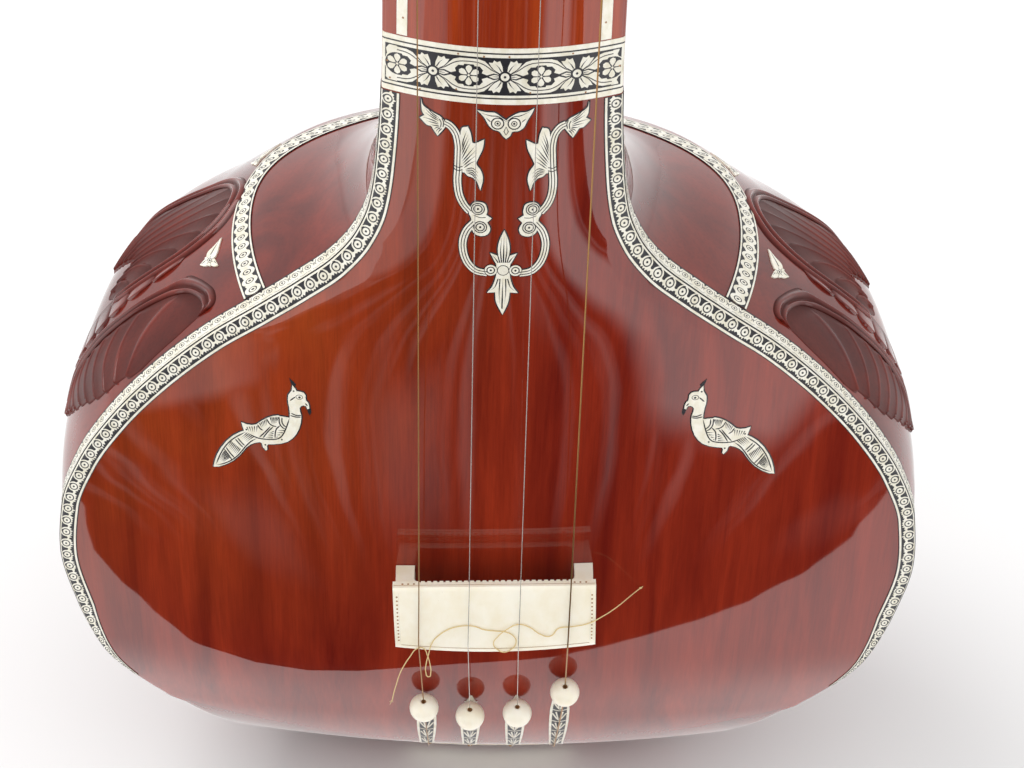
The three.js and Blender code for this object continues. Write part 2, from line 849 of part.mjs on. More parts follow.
// A winding of string on its peg, one unbroken tube.
function makeWinding(index) {
  const radius = string_diameters[index] / 2;
  const rings = windingLine(index).map((p) => {
    const out = new THREE.Vector3(p.x, 0, p.z).normalize();
    const ring = [];
    for (let i = 0; i < coil_sides; i += 1) {
      const turn = (full_turn * i) / coil_sides;
      ring.push(p.clone().addScaledVector(out, radius * Math.cos(turn))
        .add(new THREE.Vector3(0, radius * Math.sin(turn), 0)));
    }
    return ring;
  });
  return alongPeg(loft(rings), index);
}

// Prints the least gap between turns of each winding, measured on the points of its middle line.
function printWindingGaps() {
  for (let index = 0; index < 4; index += 1) {
    const line = windingLine(index);
    let least = Infinity;
    for (let i = 0; i < line.length; i += 1) {
      for (let j = i + coil_steps / 2; j < line.length; j += 1) {
        least = Math.min(least, line[i].distanceTo(line[j]));
      }
    }
    const gap = (least - string_diameters[index]).toFixed(2);
    console.log(`winding_${string_names[index]}: least gap to itself ${gap} mm`);
  }
}

// The string's middle line where it lies over the plate, at a distance up from the bridge's centre.
function overPlate(index, up) {
  const radius = string_diameters[index] / 2;
  const y = plateTopY(0) - string_over_plate - radius;
  return new THREE.Vector3(stringX(index), y, bridge_center_height + up);
}

// Where the strings leave the plate on its tail side, measured up from the bridge's centre.
const plate_touch = 2 * bridge_plate_drop - bridge_depth / 2;

// The centre of a tuning bead, resting on the guard under its string.
function beadCenter(index) {
  const x = beadX(index);
  const z = bead_heights[index];
  const rise = probe_share * joint_height;
  const slope = (onFace(x, z + rise).y - onFace(x, z - rise).y) / (2 * rise);
  const clear = bead_radius + seat_gap + inlay_lift + inlay_thickness;
  return new THREE.Vector3(x, onFace(x, z).y - clear * Math.sqrt(1 + slope * slope), z);
}

// Places of an outer string on its way from the peg round the head's edge to the guide, as rise shares.
const head_edge_share = 0.45;
const head_over_share = 0.75;

// A string from its peg to the guide.
function headRoute(index) {
  const radius = string_diameters[index] / 2;
  const sign = string_sign_shares[index];
  const { at, out } = pegSeat(index);
  const seat = at.clone().addScaledVector(out, winding_start + (winding_turns * winding_pitch) / 2);
  const swept = windingRadius(index) + 2 * radius + string_clearance;
  if (index === 1 || index === 2) return [new THREE.Vector3(seat.x, seat.y, seat.z - swept)];
  const edge_z = mix(guide_z, seat.z, head_edge_share);
  const edge_x = sign * (rimHalf(edge_z) + string_clearance + radius + trim_gap);
  const edge = new THREE.Vector3(edge_x, rimY(edge_z) - face_thickness - trim_gap, edge_z);
  const over_x = edge_x - (sign * face_crown) / 2;
  const over_z = mix(guide_z, edge_z, head_over_share);
  const over = onFace(over_x, over_z, string_clearance + radius + 2 * trim_gap);
  return [new THREE.Vector3(seat.x, seat.y - swept, seat.z - peg_shaft_radius / 2), edge, over];
}

// Where a string leaves its guard for the tailpiece and where it ends on it, as shares of their heights.
const guard_crossing_share = 0.5;
const tail_end_share = 0.4;

// A string from its bead over its guard to the tailpiece.
function tailRoute(index) {
  const radius = string_diameters[index] / 2;
  const over_guard = inlay_lift + inlay_thickness + string_clearance + radius + 2 * trim_gap;
  const over_tail = 2 * seat_gap + tail_thickness + string_clearance + radius;
  const low_x = tailX(index);
  const guard_z = mix(guard_low, guard_tops[index], guard_crossing_share);
  return [
    onFace((beadX(index) + low_x) / 2, guard_z, over_guard),
    onFace(low_x, guard_low + guard_half_width, over_guard),
    onFace(low_x, tail_high + trim_gap, over_tail),
    onFace(low_x, mix(tail_low, tail_high, tail_end_share), over_tail),
  ];
}

// The points along a string, from its peg over nut and bridge, through its bead to the tailpiece.
function stringRoute(index) {
  const guide = guidePoint(index);
  const through = guide_thickness / 2 + trim_gap;
  const bead = beadCenter(index);
  const last = overPlate(index, plate_touch);
  const along = bead.clone().sub(last).normalize();
  return [
    ...headRoute(index),
    guide.clone().setZ(guide_z + through),
    guide.clone().setZ(guide_z - through),
    nutPoint(index),
    overPlate(index, -plate_touch),
    last,
    bead.clone().addScaledVector(along, bead_radius + string_clearance),
    ...tailRoute(index),
  ];
}

// A bead with a countersunk hole, along its string's run from the bridge.
function makeBead(index) {
  const mouth_turn = Math.asin(bead_mouth_radius / bead_radius);
  const face = bead_radius * Math.cos(mouth_turn);
  const profile = [[bead_hole_radius, -face + bead_mouth_depth], [bead_mouth_radius, -face]];
  for (let i = 1; i < bead_arcs; i += 1) {
    const turn = mix(mouth_turn, half_turn - mouth_turn, i / bead_arcs);
    profile.push([bead_radius * Math.sin(turn), -bead_radius * Math.cos(turn)]);
  }
  profile.push([bead_mouth_radius, face], [bead_hole_radius, face - bead_mouth_depth]);
  profile.push(profile[0]);
  const geometry = turned(profile);
  const bead = beadCenter(index);
  const up = overPlate(index, plate_touch).sub(bead).normalize();
  geometry.applyQuaternion(new THREE.Quaternion().setFromUnitVectors(new THREE.Vector3(0, 1, 0), up));
  return geometry.translate(bead.x, bead.y, bead.z);
}

// A strip on the face that follows its edge, inset and width measured square to the edge.
function rimStrip(side, inset, width, low, high, rows) {
  const at = (v, s, lift) => {
    const z = mix(low, high, v);
    const rise = probe_share * joint_height;
    const slope = (rimHalf(z + rise) - rimHalf(z - rise)) / (2 * rise);
    const norm = Math.sqrt(1 + slope * slope);
    const d = inset + width * s;
    return onFace(side * (rimHalf(z) - d / norm), z + (d * slope) / norm, lift);
  };
  return sheet(rows, 1,
    (v, s) => at(v, s, inlay_lift + inlay_thickness),
    (v, s) => at(v, s, inlay_lift));
}

// A strip on the side of the body just behind the edge of the face.
function sideStrip(side, low, high, rows) {
  const at = (v, s, lift) => {
    const z = mix(low, high, v);
    const turn = Math.asin((side_band_setback + side_band_width * s) / backDepth(z));
    return onBack(side > 0 ? turn : half_turn - turn, z, lift);
  };
  return sheet(rows, 1,
    (v, s) => at(v, s, side_band_lift + inlay_thickness),
    (v, s) => at(v, s, side_band_lift));
}

// How much of its width the shoulder band keeps in height at the middle of the back, where the wall leans.
const band_lean_share = 0.6;

// The carved band over the joint of gourd and neck root, right round the back.
function makeShoulderBand() {
  const low_edge = side_band_setback + side_band_width + trim_gap;
  const edge_turn = Math.asin(low_edge / backDepth(shoulder_side_height));
  const at = (v, s, lift) => {
    const turn = mix(edge_turn, half_turn - edge_turn, v);
    const rise = shoulder_band_width * mix(band_lean_share, 1, Math.cos(turn) ** 2);
    return onBack(turn, shoulderLine(turn) + (s - 1 / 2) * rise, lift);
  };
  return sheet(rim_band_rows, 2,
    (v, s) => at(v, s, 2 * inlay_lift + inlay_thickness),
    (v, s) => at(v, s, inlay_lift));
}

// Carved leaves: corners as [share of half a turn, share of the joint height] at root and tip.
const leaf_scallop_share = 0.05;
const leaf_open_share = 1.4;
const leaf_shares = {
  front: { root: [[0.035, 0.688], [0.062, 0.68]], tip: [[0.03, 0.572], [0.082, 0.492]], feathers: 8 },
  rear: { root: [[0.1, 0.712], [0.2, 0.712]], tip: [[0.118, 0.51], [0.18, 0.572]], feathers: 9 },
  back: { root: [[0.4, 0.735], [0.6, 0.735]], tip: [[0.36, 0.58], [0.64, 0.58]], feathers: 11 },
};

// One carved leaf: feathers side by side, grooves between them, scalloped tips.
function makeLeaf({ root, tip, feathers }, side) {
  const at = (v, s, proud) => {
    const bow = Math.sin(half_turn * s);
    const ripple = Math.abs(Math.sin(half_turn * feathers * s));
    const reach = v * (1 + leaf_scallop_share * ripple * v) + leaf_scallop_share * 2 * bow * v;
    const spread = (1 + Math.sin(quarter_turn * Math.min(1, v * leaf_open_share))) / 2;
    const across = (1 + (2 * s - 1) * spread) / 2;
    const share = mix(mix(root[0][0], root[1][0], across), mix(tip[0][0], tip[1][0], across), v);
    const height = mix(mix(root[0][1], root[1][1], across), mix(tip[0][1], tip[1][1], across), reach);
    const turn = half_turn * (side > 0 ? share : 1 - share);
    const edge = s === 0 || s === 1 || v === 1;
    const relief = edge ? leaf_relief / 2 : leaf_relief - leaf_groove_depth * (1 - ripple);
    return onBack(turn, height * joint_height, leaf_lift + (proud ? relief : 0));
  };
  return sheet(leaf_rows, 2 * feathers, (v, s) => at(v, s, true), (v, s) => at(v, s, false));
}

// A flower: its petals, each as share of a petal's turn and share of the radius, and its places on the
// shoulder, each as share of half a turn and share of the joint height.
const flower_petals = 8;
const petal_shares = [[0, 0.72], [0.3, 1], [0.7, 1]];
const flower_slope_share = 0.6;
const flower_place_shares = { front: [0.075, 0.7], rear: [0.235, 0.7] };

// A round flower outline with petals.
function flowerOutline(radius) {
  const outline = [];
  for (let i = 0; i < flower_petals; i += 1) {
    for (const [offset, reach] of petal_shares) {
      const turn = (full_turn * (i + offset)) / flower_petals;
      outline.push([radius * reach * Math.cos(turn), radius * reach * Math.sin(turn)]);
    }
  }
  return outline;
}

// A small flower on the shoulder.
function makeShoulderFlower([turn_share, height_share], side) {
  const z0 = height_share * joint_height;
  const turn0 = half_turn * (side > 0 ? turn_share : 1 - turn_share);
  const place = (x, y, lift) => onBack(turn0 + x / backDepth(z0), z0 + y * flower_slope_share, lift);
  return plate(flowerOutline(shoulder_flower_radius), place, shoulder_flower_lift);
}

// A thin ribbon laid on a curved surface along a line of [x, y, half width] rows.
function ribbon(line, place, lift = inlay_lift, thickness = inlay_thickness) {
  const at = (v, s, height) => {
    const i = Math.round(v * (line.length - 1));
    const [x, y, half] = line[i];
    const before = line[Math.max(i - 1, 0)];
    const after = line[Math.min(i + 1, line.length - 1)];
    const run = Math.hypot(after[0] - before[0], after[1] - before[1]);
    const reach = (half * (2 * s - 1)) / run;
    return place(x - (after[1] - before[1]) * reach, y + (after[0] - before[0]) * reach, height);
  };
  return sheet(line.length - 1, 2, (v, s) => at(v, s, lift + thickness), (v, s) => at(v, s, lift));
}

// Scroll vine, as shares of its height from its lower end: x from the middle line outwards, y up, half width.
const scroll_line_shares = [
  [0.075, 0.055, 0.02], [0.13, 0.02, 0.03], [0.2, 0.07, 0.035], [0.235, 0.16, 0.035], [0.22, 0.26, 0.03],
  [0.19, 0.33, 0.03], [0.16, 0.39, 0.05], [0.18, 0.46, 0.05], [0.225, 0.53, 0.035], [0.235, 0.62, 0.03],
  [0.215, 0.7, 0.03], [0.215, 0.77, 0.035], [0.245, 0.85, 0.045], [0.3, 0.9, 0.06], [0.36, 0.95, 0.045],
  [0.41, 1, 0.012],
];

// Outlines as shares of each figure's size, from its middle line or its middle.
const finial_shares = [
  [0, 1], [0.05, 0.82], [0.04, 0.72], [0.16, 0.74], [0.1, 0.64], [0.05, 0.6], [0.065, 0.54],
  [0.065, 0.44], [0.05, 0.38], [0.16, 0.28], [0.14, 0.22], [0.05, 0.26], [0, 0],
];
const owl_shares = [
  [0, 0], [0.24, 0.3], [0.4, 0.62], [0.62, 0.66], [0.84, 1], [0.5, 0.9], [0.3, 1], [0.12, 0.86], [0, 0.92],
];
const peacock_shares = [
  [-0.5, -0.48], [-0.36, -0.42], [-0.2, -0.3], [-0.02, -0.26], [0.03, -0.3], [0.12, -0.24], [0.26, -0.14],
  [0.36, 0.04], [0.38, 0.16], [0.35, 0.24], [0.47, 0.27], [0.36, 0.34], [0.35, 0.42], [0.29, 0.52],
  [0.27, 0.42], [0.24, 0.36], [0.2, 0.26], [0.16, 0.16], [0.02, 0.12], [-0.1, 0.1], [-0.24, 0.08],
  [-0.16, 0.0], [-0.24, -0.12], [-0.36, -0.28],
];

// Mirrors a half outline, whose first and last points lie on the middle line, into a whole one.
function mirrored(half_outline) {
  const other = half_outline.slice(1, -1).reverse().map(([x, y]) => [-x, y]);
  return [...half_outline, ...other];
}

// Scales an outline and moves it onto the face.
function faceOutline(shares, size, x, z, side = 1) {
  return shares.map(([a, b]) => [side * (x + a * size), z + b * size]);
}

// Half width of a guard from its lower end to its point.
const guard_width_shares = [0.72, 0.8, 0.92, 1, 1, 0.8, 0.1];

// A leaf-shaped guard on the lower edge of the face, under a string.
function makeGuard(index) {
  const x = (beadX(index) + tailX(index)) / 2;
  const rows = guard_width_shares.length - 1;
  const line = guard_width_shares.map((share, i) => [
    x, mix(guard_low, guard_tops[index], i / rows), guard_half_width * share]);
  return ribbon(line, onFace);
}

// The cotton thread under the strings, from its hanging end to its far tip: x, z, and how far it stands off
// the face, from 0 on the face to 1 on the bridge plate.
const thread_points = [
  [-44, 101.5, 0.9], [-43.2, 107, 0.94], [-42, 113, 0.97], [-40.6, 119.5, 1], [-38.4, 126, 1.03],
  [-35.6, 131.8, 1.04], [-32.6, 136, 1.01], [-29.6, 136.4, 1.01], [-27.6, 132.4, 1.03],
  [-26.4, 127, 1.03], [-26, 121.6, 1.01], [-27, 118.6, 1], [-28.3, 121.4, 1], [-28.2, 127, 1.03],
  [-27.2, 133, 1.05], [-25.6, 139.6, 1],
  [-22.4, 145.2, 1], [-17.6, 149.4, 1], [-12, 151.4, 1], [-6.6, 151.4, 1], [-2, 149.4, 1], [3.4, 148.6, 1],
  [8.4, 148, 1], [12, 145.2, 1], [13.1, 141, 1], [11.2, 136.6, 1], [7.6, 134.6, 1], [4.2, 136.6, 1],
  [2.7, 141, 1.03], [4.4, 146, 1.06], [8.6, 150.6, 1.04], [14, 153, 1], [19.4, 151, 1], [24.4, 146.8, 1],
  [28.6, 145.8, 1], [32.4, 151, 1], [38.6, 152.2, 1], [44.6, 153.8, 1], [50, 157, 1], [71.2, 155.6, 0],
];

printWindingGaps();

const gourd = solidOf(makeGourd()).subtract(solidOf(faceSpace()));
add("gourd_shell", geometryOf(gourd), "lacquer");
add("shoulder_block", backWall(shoulder_rows, back_columns, (turn) => shoulderLine(turn) + seat_gap,
  () => joint_z - seat_gap, gourd_wall, shoulder_density), "lacquer");
add("soundboard", makeSoundboard(), "lacquer");
add("neck_shell", backWall(neck_rows, neck_back_columns, () => joint_z, () => head_z - seat_gap, neck_wall, 1),
  "neckwood");
add("neck_face_plate", makeNeckFace(), "neckwood");

// The head, bored for its four pegs
function makeHead() {
  let solid = solidOf(loft([neckRing(head_z), neckRing(top_z)]));
  for (let i = 0; i < 4; i += 1) {
    const bore = peg_shaft_radius + peg_clearance;
    const deep = peg_reach + peg_clearance;
    const drill = new THREE.CylinderGeometry(bore, bore, 2 * deep, turned_sides);
    solid = solid.subtract(solidOf(alongPeg(drill, i)));
  }
  return geometryOf(solid);
}
add("head_block", makeHead(), "neckwood");
add("head_cap", loft([
  neckRing(top_z).map((p) => p.clone().setZ(top_z + seat_gap)),
  neckRing(top_z).map((p) => p.clone().setZ(top_z + cap_height / 2)),
  neckRing(top_z, cap_inset).map((p) => p.clone().setZ(top_z + cap_height)),
]), "bone");

add("string_nut", crossBar(nut_z, nut_height, nut_thickness), "bone");
add("string_guide", makeGuide(), "bone");
add("bridge_base", makeBridgeBase(), "bone");
add("bridge_plate", makeBridgePlate(), "bone");

// A block that follows the face, from one lift to another.
function faceBlock(middle, width, low, high, top, under) {
  const at = (v, s, lift) => onFace(middle + mix(-width, width, s) / 2, mix(low, high, v), lift);
  return sheet(tail_rows, tail_columns, (v, s) => at(v, s, top), (v, s) => at(v, s, under));
}

const tail_under = 2 * seat_gap;
const tail_top = tail_under + tail_thickness;
const block_top = -face_thickness - seat_gap;
const block_under = block_top - tail_block_thickness;
add("tailpiece", faceBlock(bead_shift, tail_width, tail_low, tail_high, tail_top, tail_under), "bone");
add("tail_block", faceBlock(0, tail_block_width, tail_block_low, tail_block_high, block_top, block_under),
  "pine");

// The inlaid band across the joint of neck and body.
function makeJointBand() {
  const at = (v, s, lift) => {
    const z = joint_z + (v - 1 / 2) * joint_band_width;
    return onFace((-1 + 2 * s) * (rimHalf(z) - rim_band_inset), z, lift);
  };
  return sheet(2, neck_columns,
    (v, s) => at(v, s, inlay_lift + inlay_thickness),
    (v, s) => at(v, s, inlay_lift));
}
add("neck_joint_band", makeJointBand(), "inlay");

const sides = [["left", -1], ["right", 1]];
const band_low_edge = joint_z - joint_band_width / 2;
const band_high_edge = joint_z + joint_band_width / 2;
for (const [side_name, side] of sides) {
  add(`neck_edge_strip_${side_name}`, rimStrip(side, neck_strip_inset, neck_strip_width,
    band_high_edge + trim_gap, nut_z - nut_thickness, strip_rows), "inlay");
  add(`rim_band_front_${side_name}`, rimStrip(side, rim_band_inset, rim_band_width, rim_band_low,
    band_low_edge - trim_gap, rim_band_rows), "inlay");
  add(`rim_band_side_${side_name}`, sideStrip(side, rim_band_low + rim_band_width, band_low_edge - trim_gap,
    side_band_rows), "inlay");
  add(`carved_leaf_front_${side_name}`, makeLeaf(leaf_shares.front, side), "lacquer");
  add(`carved_leaf_rear_${side_name}`, makeLeaf(leaf_shares.rear, side), "lacquer");
  add(`shoulder_flower_front_${side_name}`, makeShoulderFlower(flower_place_shares.front, side), "inlay");
  add(`shoulder_flower_rear_${side_name}`, makeShoulderFlower(flower_place_shares.rear, side), "inlay");
  add(`peacock_${side_name}`, plate(faceOutline(peacock_shares, peacock_size, -peacock_x, peacock_z, -side),
    onFace), "inlay");
  add(`scroll_vine_${side_name}`, ribbon(scroll_line_shares.map(([x, z, half]) => [
    side * x * scroll_height, scroll_low + z * scroll_height, half * scroll_height]), onFace), "inlay");
}
add("carved_leaf_back", makeLeaf(leaf_shares.back, 1), "lacquer");
add("shoulder_band", makeShoulderBand(), "inlay");
add("vine_finial", plate(mirrored(faceOutline(finial_shares, finial_height, 0, finial_low)), onFace), "inlay");
add("owl_motif", plate(mirrored(faceOutline(owl_shares, owl_height, 0, owl_low)), onFace), "inlay");

string_names.forEach((name, i) => {
  const metal = i === 1 || i === 2 ? "steel" : "bronze";
  add(`string_guard_${name}`, makeGuard(i), "inlay");
  add(`tuning_bead_${name}`, makeBead(i), "bone");
  add(`string_${name}`, tube(stringRoute(i), string_diameters[i] / 2), metal);
  add(`string_winding_${name}`, makeWinding(i), metal);
  add(`peg_${name}`, makePeg(i), "ebony");
});

// The thread's middle line: a point of its list, between the face and the top of the bridge plate.
function threadPoint([x, z, off]) {
  const above = thread_lift + thread_diameter / 2;
  const plate_y = plateTopY(z - bridge_center_height) - above;
  return new THREE.Vector3(x, mix(onFace(x, z).y - above, plate_y, off), z);
}
add("jiva_thread", tube(thread_points.map(threadPoint), thread_diameter / 2, thread_sides), "cotton");

export default tanpura;
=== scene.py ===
"""Looks of a four-string tanpura: fine meshes, inlay, carving, materials and a plain studio."""

import math
import random

import bmesh
import bpy
import numpy as np
from bpy.props import FloatProperty, FloatVectorProperty, IntProperty, PointerProperty
from mathutils import Matrix, Vector
from mathutils.geometry import delaunay_2d_cdt


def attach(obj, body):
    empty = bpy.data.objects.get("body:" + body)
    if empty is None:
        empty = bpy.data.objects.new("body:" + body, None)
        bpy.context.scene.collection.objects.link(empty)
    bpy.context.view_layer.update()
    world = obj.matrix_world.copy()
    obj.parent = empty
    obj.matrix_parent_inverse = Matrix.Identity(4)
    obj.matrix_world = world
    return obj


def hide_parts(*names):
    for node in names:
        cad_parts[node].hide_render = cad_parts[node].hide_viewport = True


bl_info = {
    "name": "Tanpura looks",
    "version": (1, 0, 0),
    "blender": (4, 5, 0),
    "location": "3D View > Sidebar > Tanpura",
    "description": "Builds the fine meshes, inlay, carving and finishes of a tanpura on its CAD frame",
    "category": "Object",
}

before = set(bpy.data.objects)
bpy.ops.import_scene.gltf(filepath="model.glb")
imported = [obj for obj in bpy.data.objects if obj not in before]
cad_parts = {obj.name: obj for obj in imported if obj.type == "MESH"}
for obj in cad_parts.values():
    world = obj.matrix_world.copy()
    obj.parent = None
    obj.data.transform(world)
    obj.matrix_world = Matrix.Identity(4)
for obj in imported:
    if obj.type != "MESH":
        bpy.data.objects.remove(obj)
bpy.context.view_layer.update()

MM = 0.001
BODY = "instrument"
FINISHES = {}
SIDES = (("left", -1), ("right", 1))

# Sizes of the instrument in millimetres, most of them as in its CAD
JOINT = 420.0
HEAD = 1130.0
TOP = 1310.0
BODY_WIDTH = 399.0
BODY_DEPTH = 236.0
BASE_DEPTH = 92.0
NECK_WIDTHS = (98.0, 88.0)
NECK_DEPTHS = (75.0, 62.0)
NECK_LENGTH = 710.0
FACE_THICKNESS = 4.0
FACE_CROWN = 13.0
BASE_RECEDE = 58.0
SHOULDER_BULGE = 48.0
RIM_STAND = 95.5
CHIN_Z = 22.0
CHIN_RISE = 42.0
SHOULDER_Z = 300.0
SHOULDER_RISE = 17.0
BRIDGE_Z = 155.3
BRIDGE_SHIFT = 3.0
BRIDGE_TURN = math.radians(2.2)
BRIDGE_HEIGHT = 23.0
BRIDGE_WIDTH = 92.3
BRIDGE_DEPTH = 35.5
BRIDGE_BOW = 3.7
PLATE_THICKNESS = 5.0
PLATE_DROP = 1.6
PLATE_EDGE = 0.6
FEET_HALF = 13.5
COMB_HALF = 34.5
COMB_PITCH = 2.8
COMB_GAP = 0.9
COMB_DEEP = 1.3
NUT_Z = HEAD - 38
GUIDE_Z = NUT_Z + 22
NUT_HEIGHT = 9
GUIDE_HEIGHT = 12
BAR_CROWN = 0.33
STRING_DIAMETERS = (0.55, 0.35, 0.35, 0.7)
STRING_SIGNS = (-1, -1, 1, 1)
STRING_SPREADS = (68.6, 23.2, 23.2, 68.6)
STRING_SHIFT = 2.6
STRING_LIFT = 1.2
BEAD_SHIFT = 4.3
BEAD_RADIUS = 7.0
BEAD_HEIGHTS = (81.5, 75.5, 78.5, 95.5)
GUARD_LIFT = 1.4
GUARD_LOW = 27.0
GUARD_TOPS = (80, 82, 83, 92)
SIDE_PEG_UP = 52
SIDE_PEG_BACK = 11
FRONT_PEG_UP = 116
FRONT_PEG_X = 22.0
PEG_SHAFT = 5.5
PEG_LENGTH_IN = 34.0
WINDING_START = 6.0
WINDING_PITCH = 1.5
TAIL_HALF = 42.0
TAIL_PROUD = 1.2
BAND_TOP = 406.9
BAND_FULL = 128.0
BAND_LOW = 79.0
CLEARANCE = 0.3
FACE_EDGE = 1.4
STEP = 0.84


def curve_table(rows):
    """Places, values and slopes of one smooth curve without overshoot."""
    place, value = np.array(rows, float).T
    slope = np.diff(value) / np.diff(place)
    before, after = slope[:-1], slope[1:]
    same_way = before * after > 0
    both = np.where(same_way, before + after, 1.0)
    inner = np.where(same_way, 2 * before * after / both, 0.0)
    return place, value, np.concatenate([slope[:1], inner, slope[-1:]])


def read(table, at):
    place, value, tangent = table
    at = np.clip(at, place[0], place[-1])
    i = np.clip(np.searchsorted(place, at, side="left") - 1, 0, len(place) - 2)
    width = place[i + 1] - place[i]
    t = (at - place[i]) / width
    t2, t3 = t * t, t * t * t
    return (
        (2 * t3 - 3 * t2 + 1) * value[i]
        + (t3 - 2 * t2 + t) * width * tangent[i]
        + (3 * t2 - 2 * t3) * value[i + 1]
        + (t3 - t2) * width * tangent[i + 1]
    )


RIM = curve_table([
    (0, 0.09), (0.03, 0.34), (0.072, 0.53), (0.152, 0.727), (0.238, 0.898), (0.31, 0.964), (0.386, 1),
    (0.452, 0.98), (0.512, 0.914), (0.571, 0.805), (0.624, 0.673), (0.679, 0.5), (0.714, 0.36),
    (0.743, 0.247), (0.774, 0.14), (0.805, 0.074), (0.838, 0.037), (0.881, 0.018), (0.957, 0.003), (1, 0),
])
DEPTH = curve_table([
    (0, (BASE_DEPTH - NECK_DEPTHS[0]) / (BODY_DEPTH - NECK_DEPTHS[0])), (0.071, 0.45), (0.152, 0.7),
    (0.262, 0.894), (0.386, 1), (0.512, 0.915), (0.624, 0.87), (0.69, 0.73), (0.738, 0.595),
    (0.786, 0.346), (0.821, 0.21), (0.869, 0.075), (1, 0),
])
BULGE = curve_table([
    (0, 0), (0.071, 0.08), (0.152, 0.125), (0.262, 0.167), (0.386, 0.33), (0.512, 0.73), (0.624, 1),
    (0.69, 0.83), (0.738, 0.83), (0.786, 0.46), (0.821, 0.29), (0.869, 0.12), (1, 0),
])
RECEDE = curve_table([(0, 1), (0.052, 0.6), (0.071, 0.46), (0.152, 0.18), (0.262, 0.016), (0.386, 0), (1, 0)])


def mix(a, b, t):
    return a + (b - a) * t


def neck_size(pair, z):
    return mix(pair[0], pair[1], (z - JOINT) / NECK_LENGTH)


def rim_half(z):
    z = np.asarray(z, float)
    half = NECK_WIDTHS[0] / 2
    body = half + (BODY_WIDTH / 2 - half) * read(RIM, z / JOINT)
    return np.where(z > JOINT, neck_size(NECK_WIDTHS, z) / 2, body)


def rim_y(z):
    return BASE_RECEDE * read(RECEDE, np.asarray(z, float) / JOINT) - RIM_STAND


def back_depth(z):
    z = np.asarray(z, float)
    body = NECK_DEPTHS[0] + (BODY_DEPTH - NECK_DEPTHS[0]) * read(DEPTH, z / JOINT)
    return np.where(z > JOINT, neck_size(NECK_DEPTHS, z), body)


def bulge(z):
    z = np.asarray(z, float)
    return np.where(z > JOINT, 0.0, SHOULDER_BULGE * read(BULGE, z / JOINT))


def points_of(*columns):
    return np.stack(np.broadcast_arrays(*[np.asarray(c, float) for c in columns]), -1)


def on_face(x, z, lift=0.0):
    """A point of the sounding face or of the neck's front, lifted off it towards -Y."""
    u = x / rim_half(z)
    return points_of(x, rim_y(z) - FACE_THICKNESS - FACE_CROWN * (1 - u * u) - lift, z)


def back_point(turn, z):
    """A point of the back; the turn runs from 0 at the right edge to pi at the left edge."""
    x = rim_half(z) * np.cos(turn) + bulge(z) * np.sin(2 * turn)
    return points_of(x, rim_y(z) + back_depth(z) * np.sin(turn), z)


def unit(v):
    return v / np.maximum(np.linalg.norm(v, axis=-1, keepdims=True), 1e-12)


def back_normal(turn, z):
    across = back_point(turn + 0.01, z) - back_point(turn - 0.01, z)
    up = back_point(turn, z + STEP) - back_point(turn, z - STEP)
    return unit(np.cross(across, up))


def on_back(turn, z, lift=0.0):
    turn, z, lift = np.broadcast_arrays(turn, z, lift)
    return back_point(turn, z) + back_normal(turn, z) * lift[..., None]


def chin_edge(u):
    return CHIN_Z + CHIN_RISE * u * u


def shoulder_line(turn):
    return SHOULDER_Z + SHOULDER_RISE * np.sin(turn)


def bend(a, b, c, d, t):
    """The smooth curve from b to c that comes from a and goes on to d."""
    return 0.5 * (2 * b + (c - a) * t + (2 * a - 5 * b + 4 * c - d) * t**2 + (3 * b - a - 3 * c + d) * t**3)


def smooth_line(points, spacing):
    """A smooth line through given points, at an even spacing."""
    p = np.asarray(points, float)
    ends = p
    if len(p) > 2:
        q = np.vstack([2 * p[0] - p[1], p, 2 * p[-1] - p[-2]])
        t = np.linspace(0, 1, 9)[:-1, None]
        parts = [bend(*four, t) for four in zip(q[:-3], q[1:-2], q[2:-1], q[3:])]
        ends = np.vstack(parts + [p[-1:]])
    along = run_length(ends)
    count = max(2, int(round(along[-1] / spacing)) + 1)
    wanted = np.linspace(0, along[-1], count)
    return np.stack([np.interp(wanted, along, ends[:, k]) for k in range(p.shape[1])], -1)


def run_length(line):
    """How far along a line each of its points lies."""
    return np.concatenate([[0], np.cumsum(np.linalg.norm(np.diff(line, axis=0), axis=1))])


def signed_area(ring):
    x, y = ring[:, 0], ring[:, 1]
    return 0.5 * np.sum(x * np.roll(y, -1) - y * np.roll(x, -1))


def inside(ring, spots):
    """Which spots lie inside a closed outline."""
    result = np.zeros(len(spots), bool)
    for a, b in zip(ring, np.roll(ring, -1, axis=0)):
        crosses = (a[1] > spots[:, 1]) != (b[1] > spots[:, 1])
        rise = b[1] - a[1]
        if rise:
            result ^= crosses & (spots[:, 0] < (b[0] - a[0]) * (spots[:, 1] - a[1]) / rise + a[0])
    return result


def circle(sides):
    """Angles evenly round a circle."""
    return np.linspace(0, 2 * math.pi, sides, endpoint=False)


def oval(x, y, rx, ry, sides):
    """Points round an oval."""
    turn = circle(sides)
    return np.stack([x + rx * np.cos(turn), y + ry * np.sin(turn)], -1)


def round_axes(out):
    """Two directions square to a line and to each other."""
    side = unit(np.cross(out, [0.3, 0.2, 1.0] if abs(out[2]) < 0.9 else [1.0, 0, 0]))
    return side, np.cross(out, side)


def quads(rows, columns, wrap):
    """The faces between the points of a grid, closed round its rows or open."""
    r = np.arange(rows - 1)[:, None]
    c = np.arange(columns if wrap else columns - 1)[None, :]
    n = (c + 1) % columns
    low, high = r * columns, (r + 1) * columns
    return np.stack([low + c, low + n, high + n, high + c], -1).reshape(-1, 4)


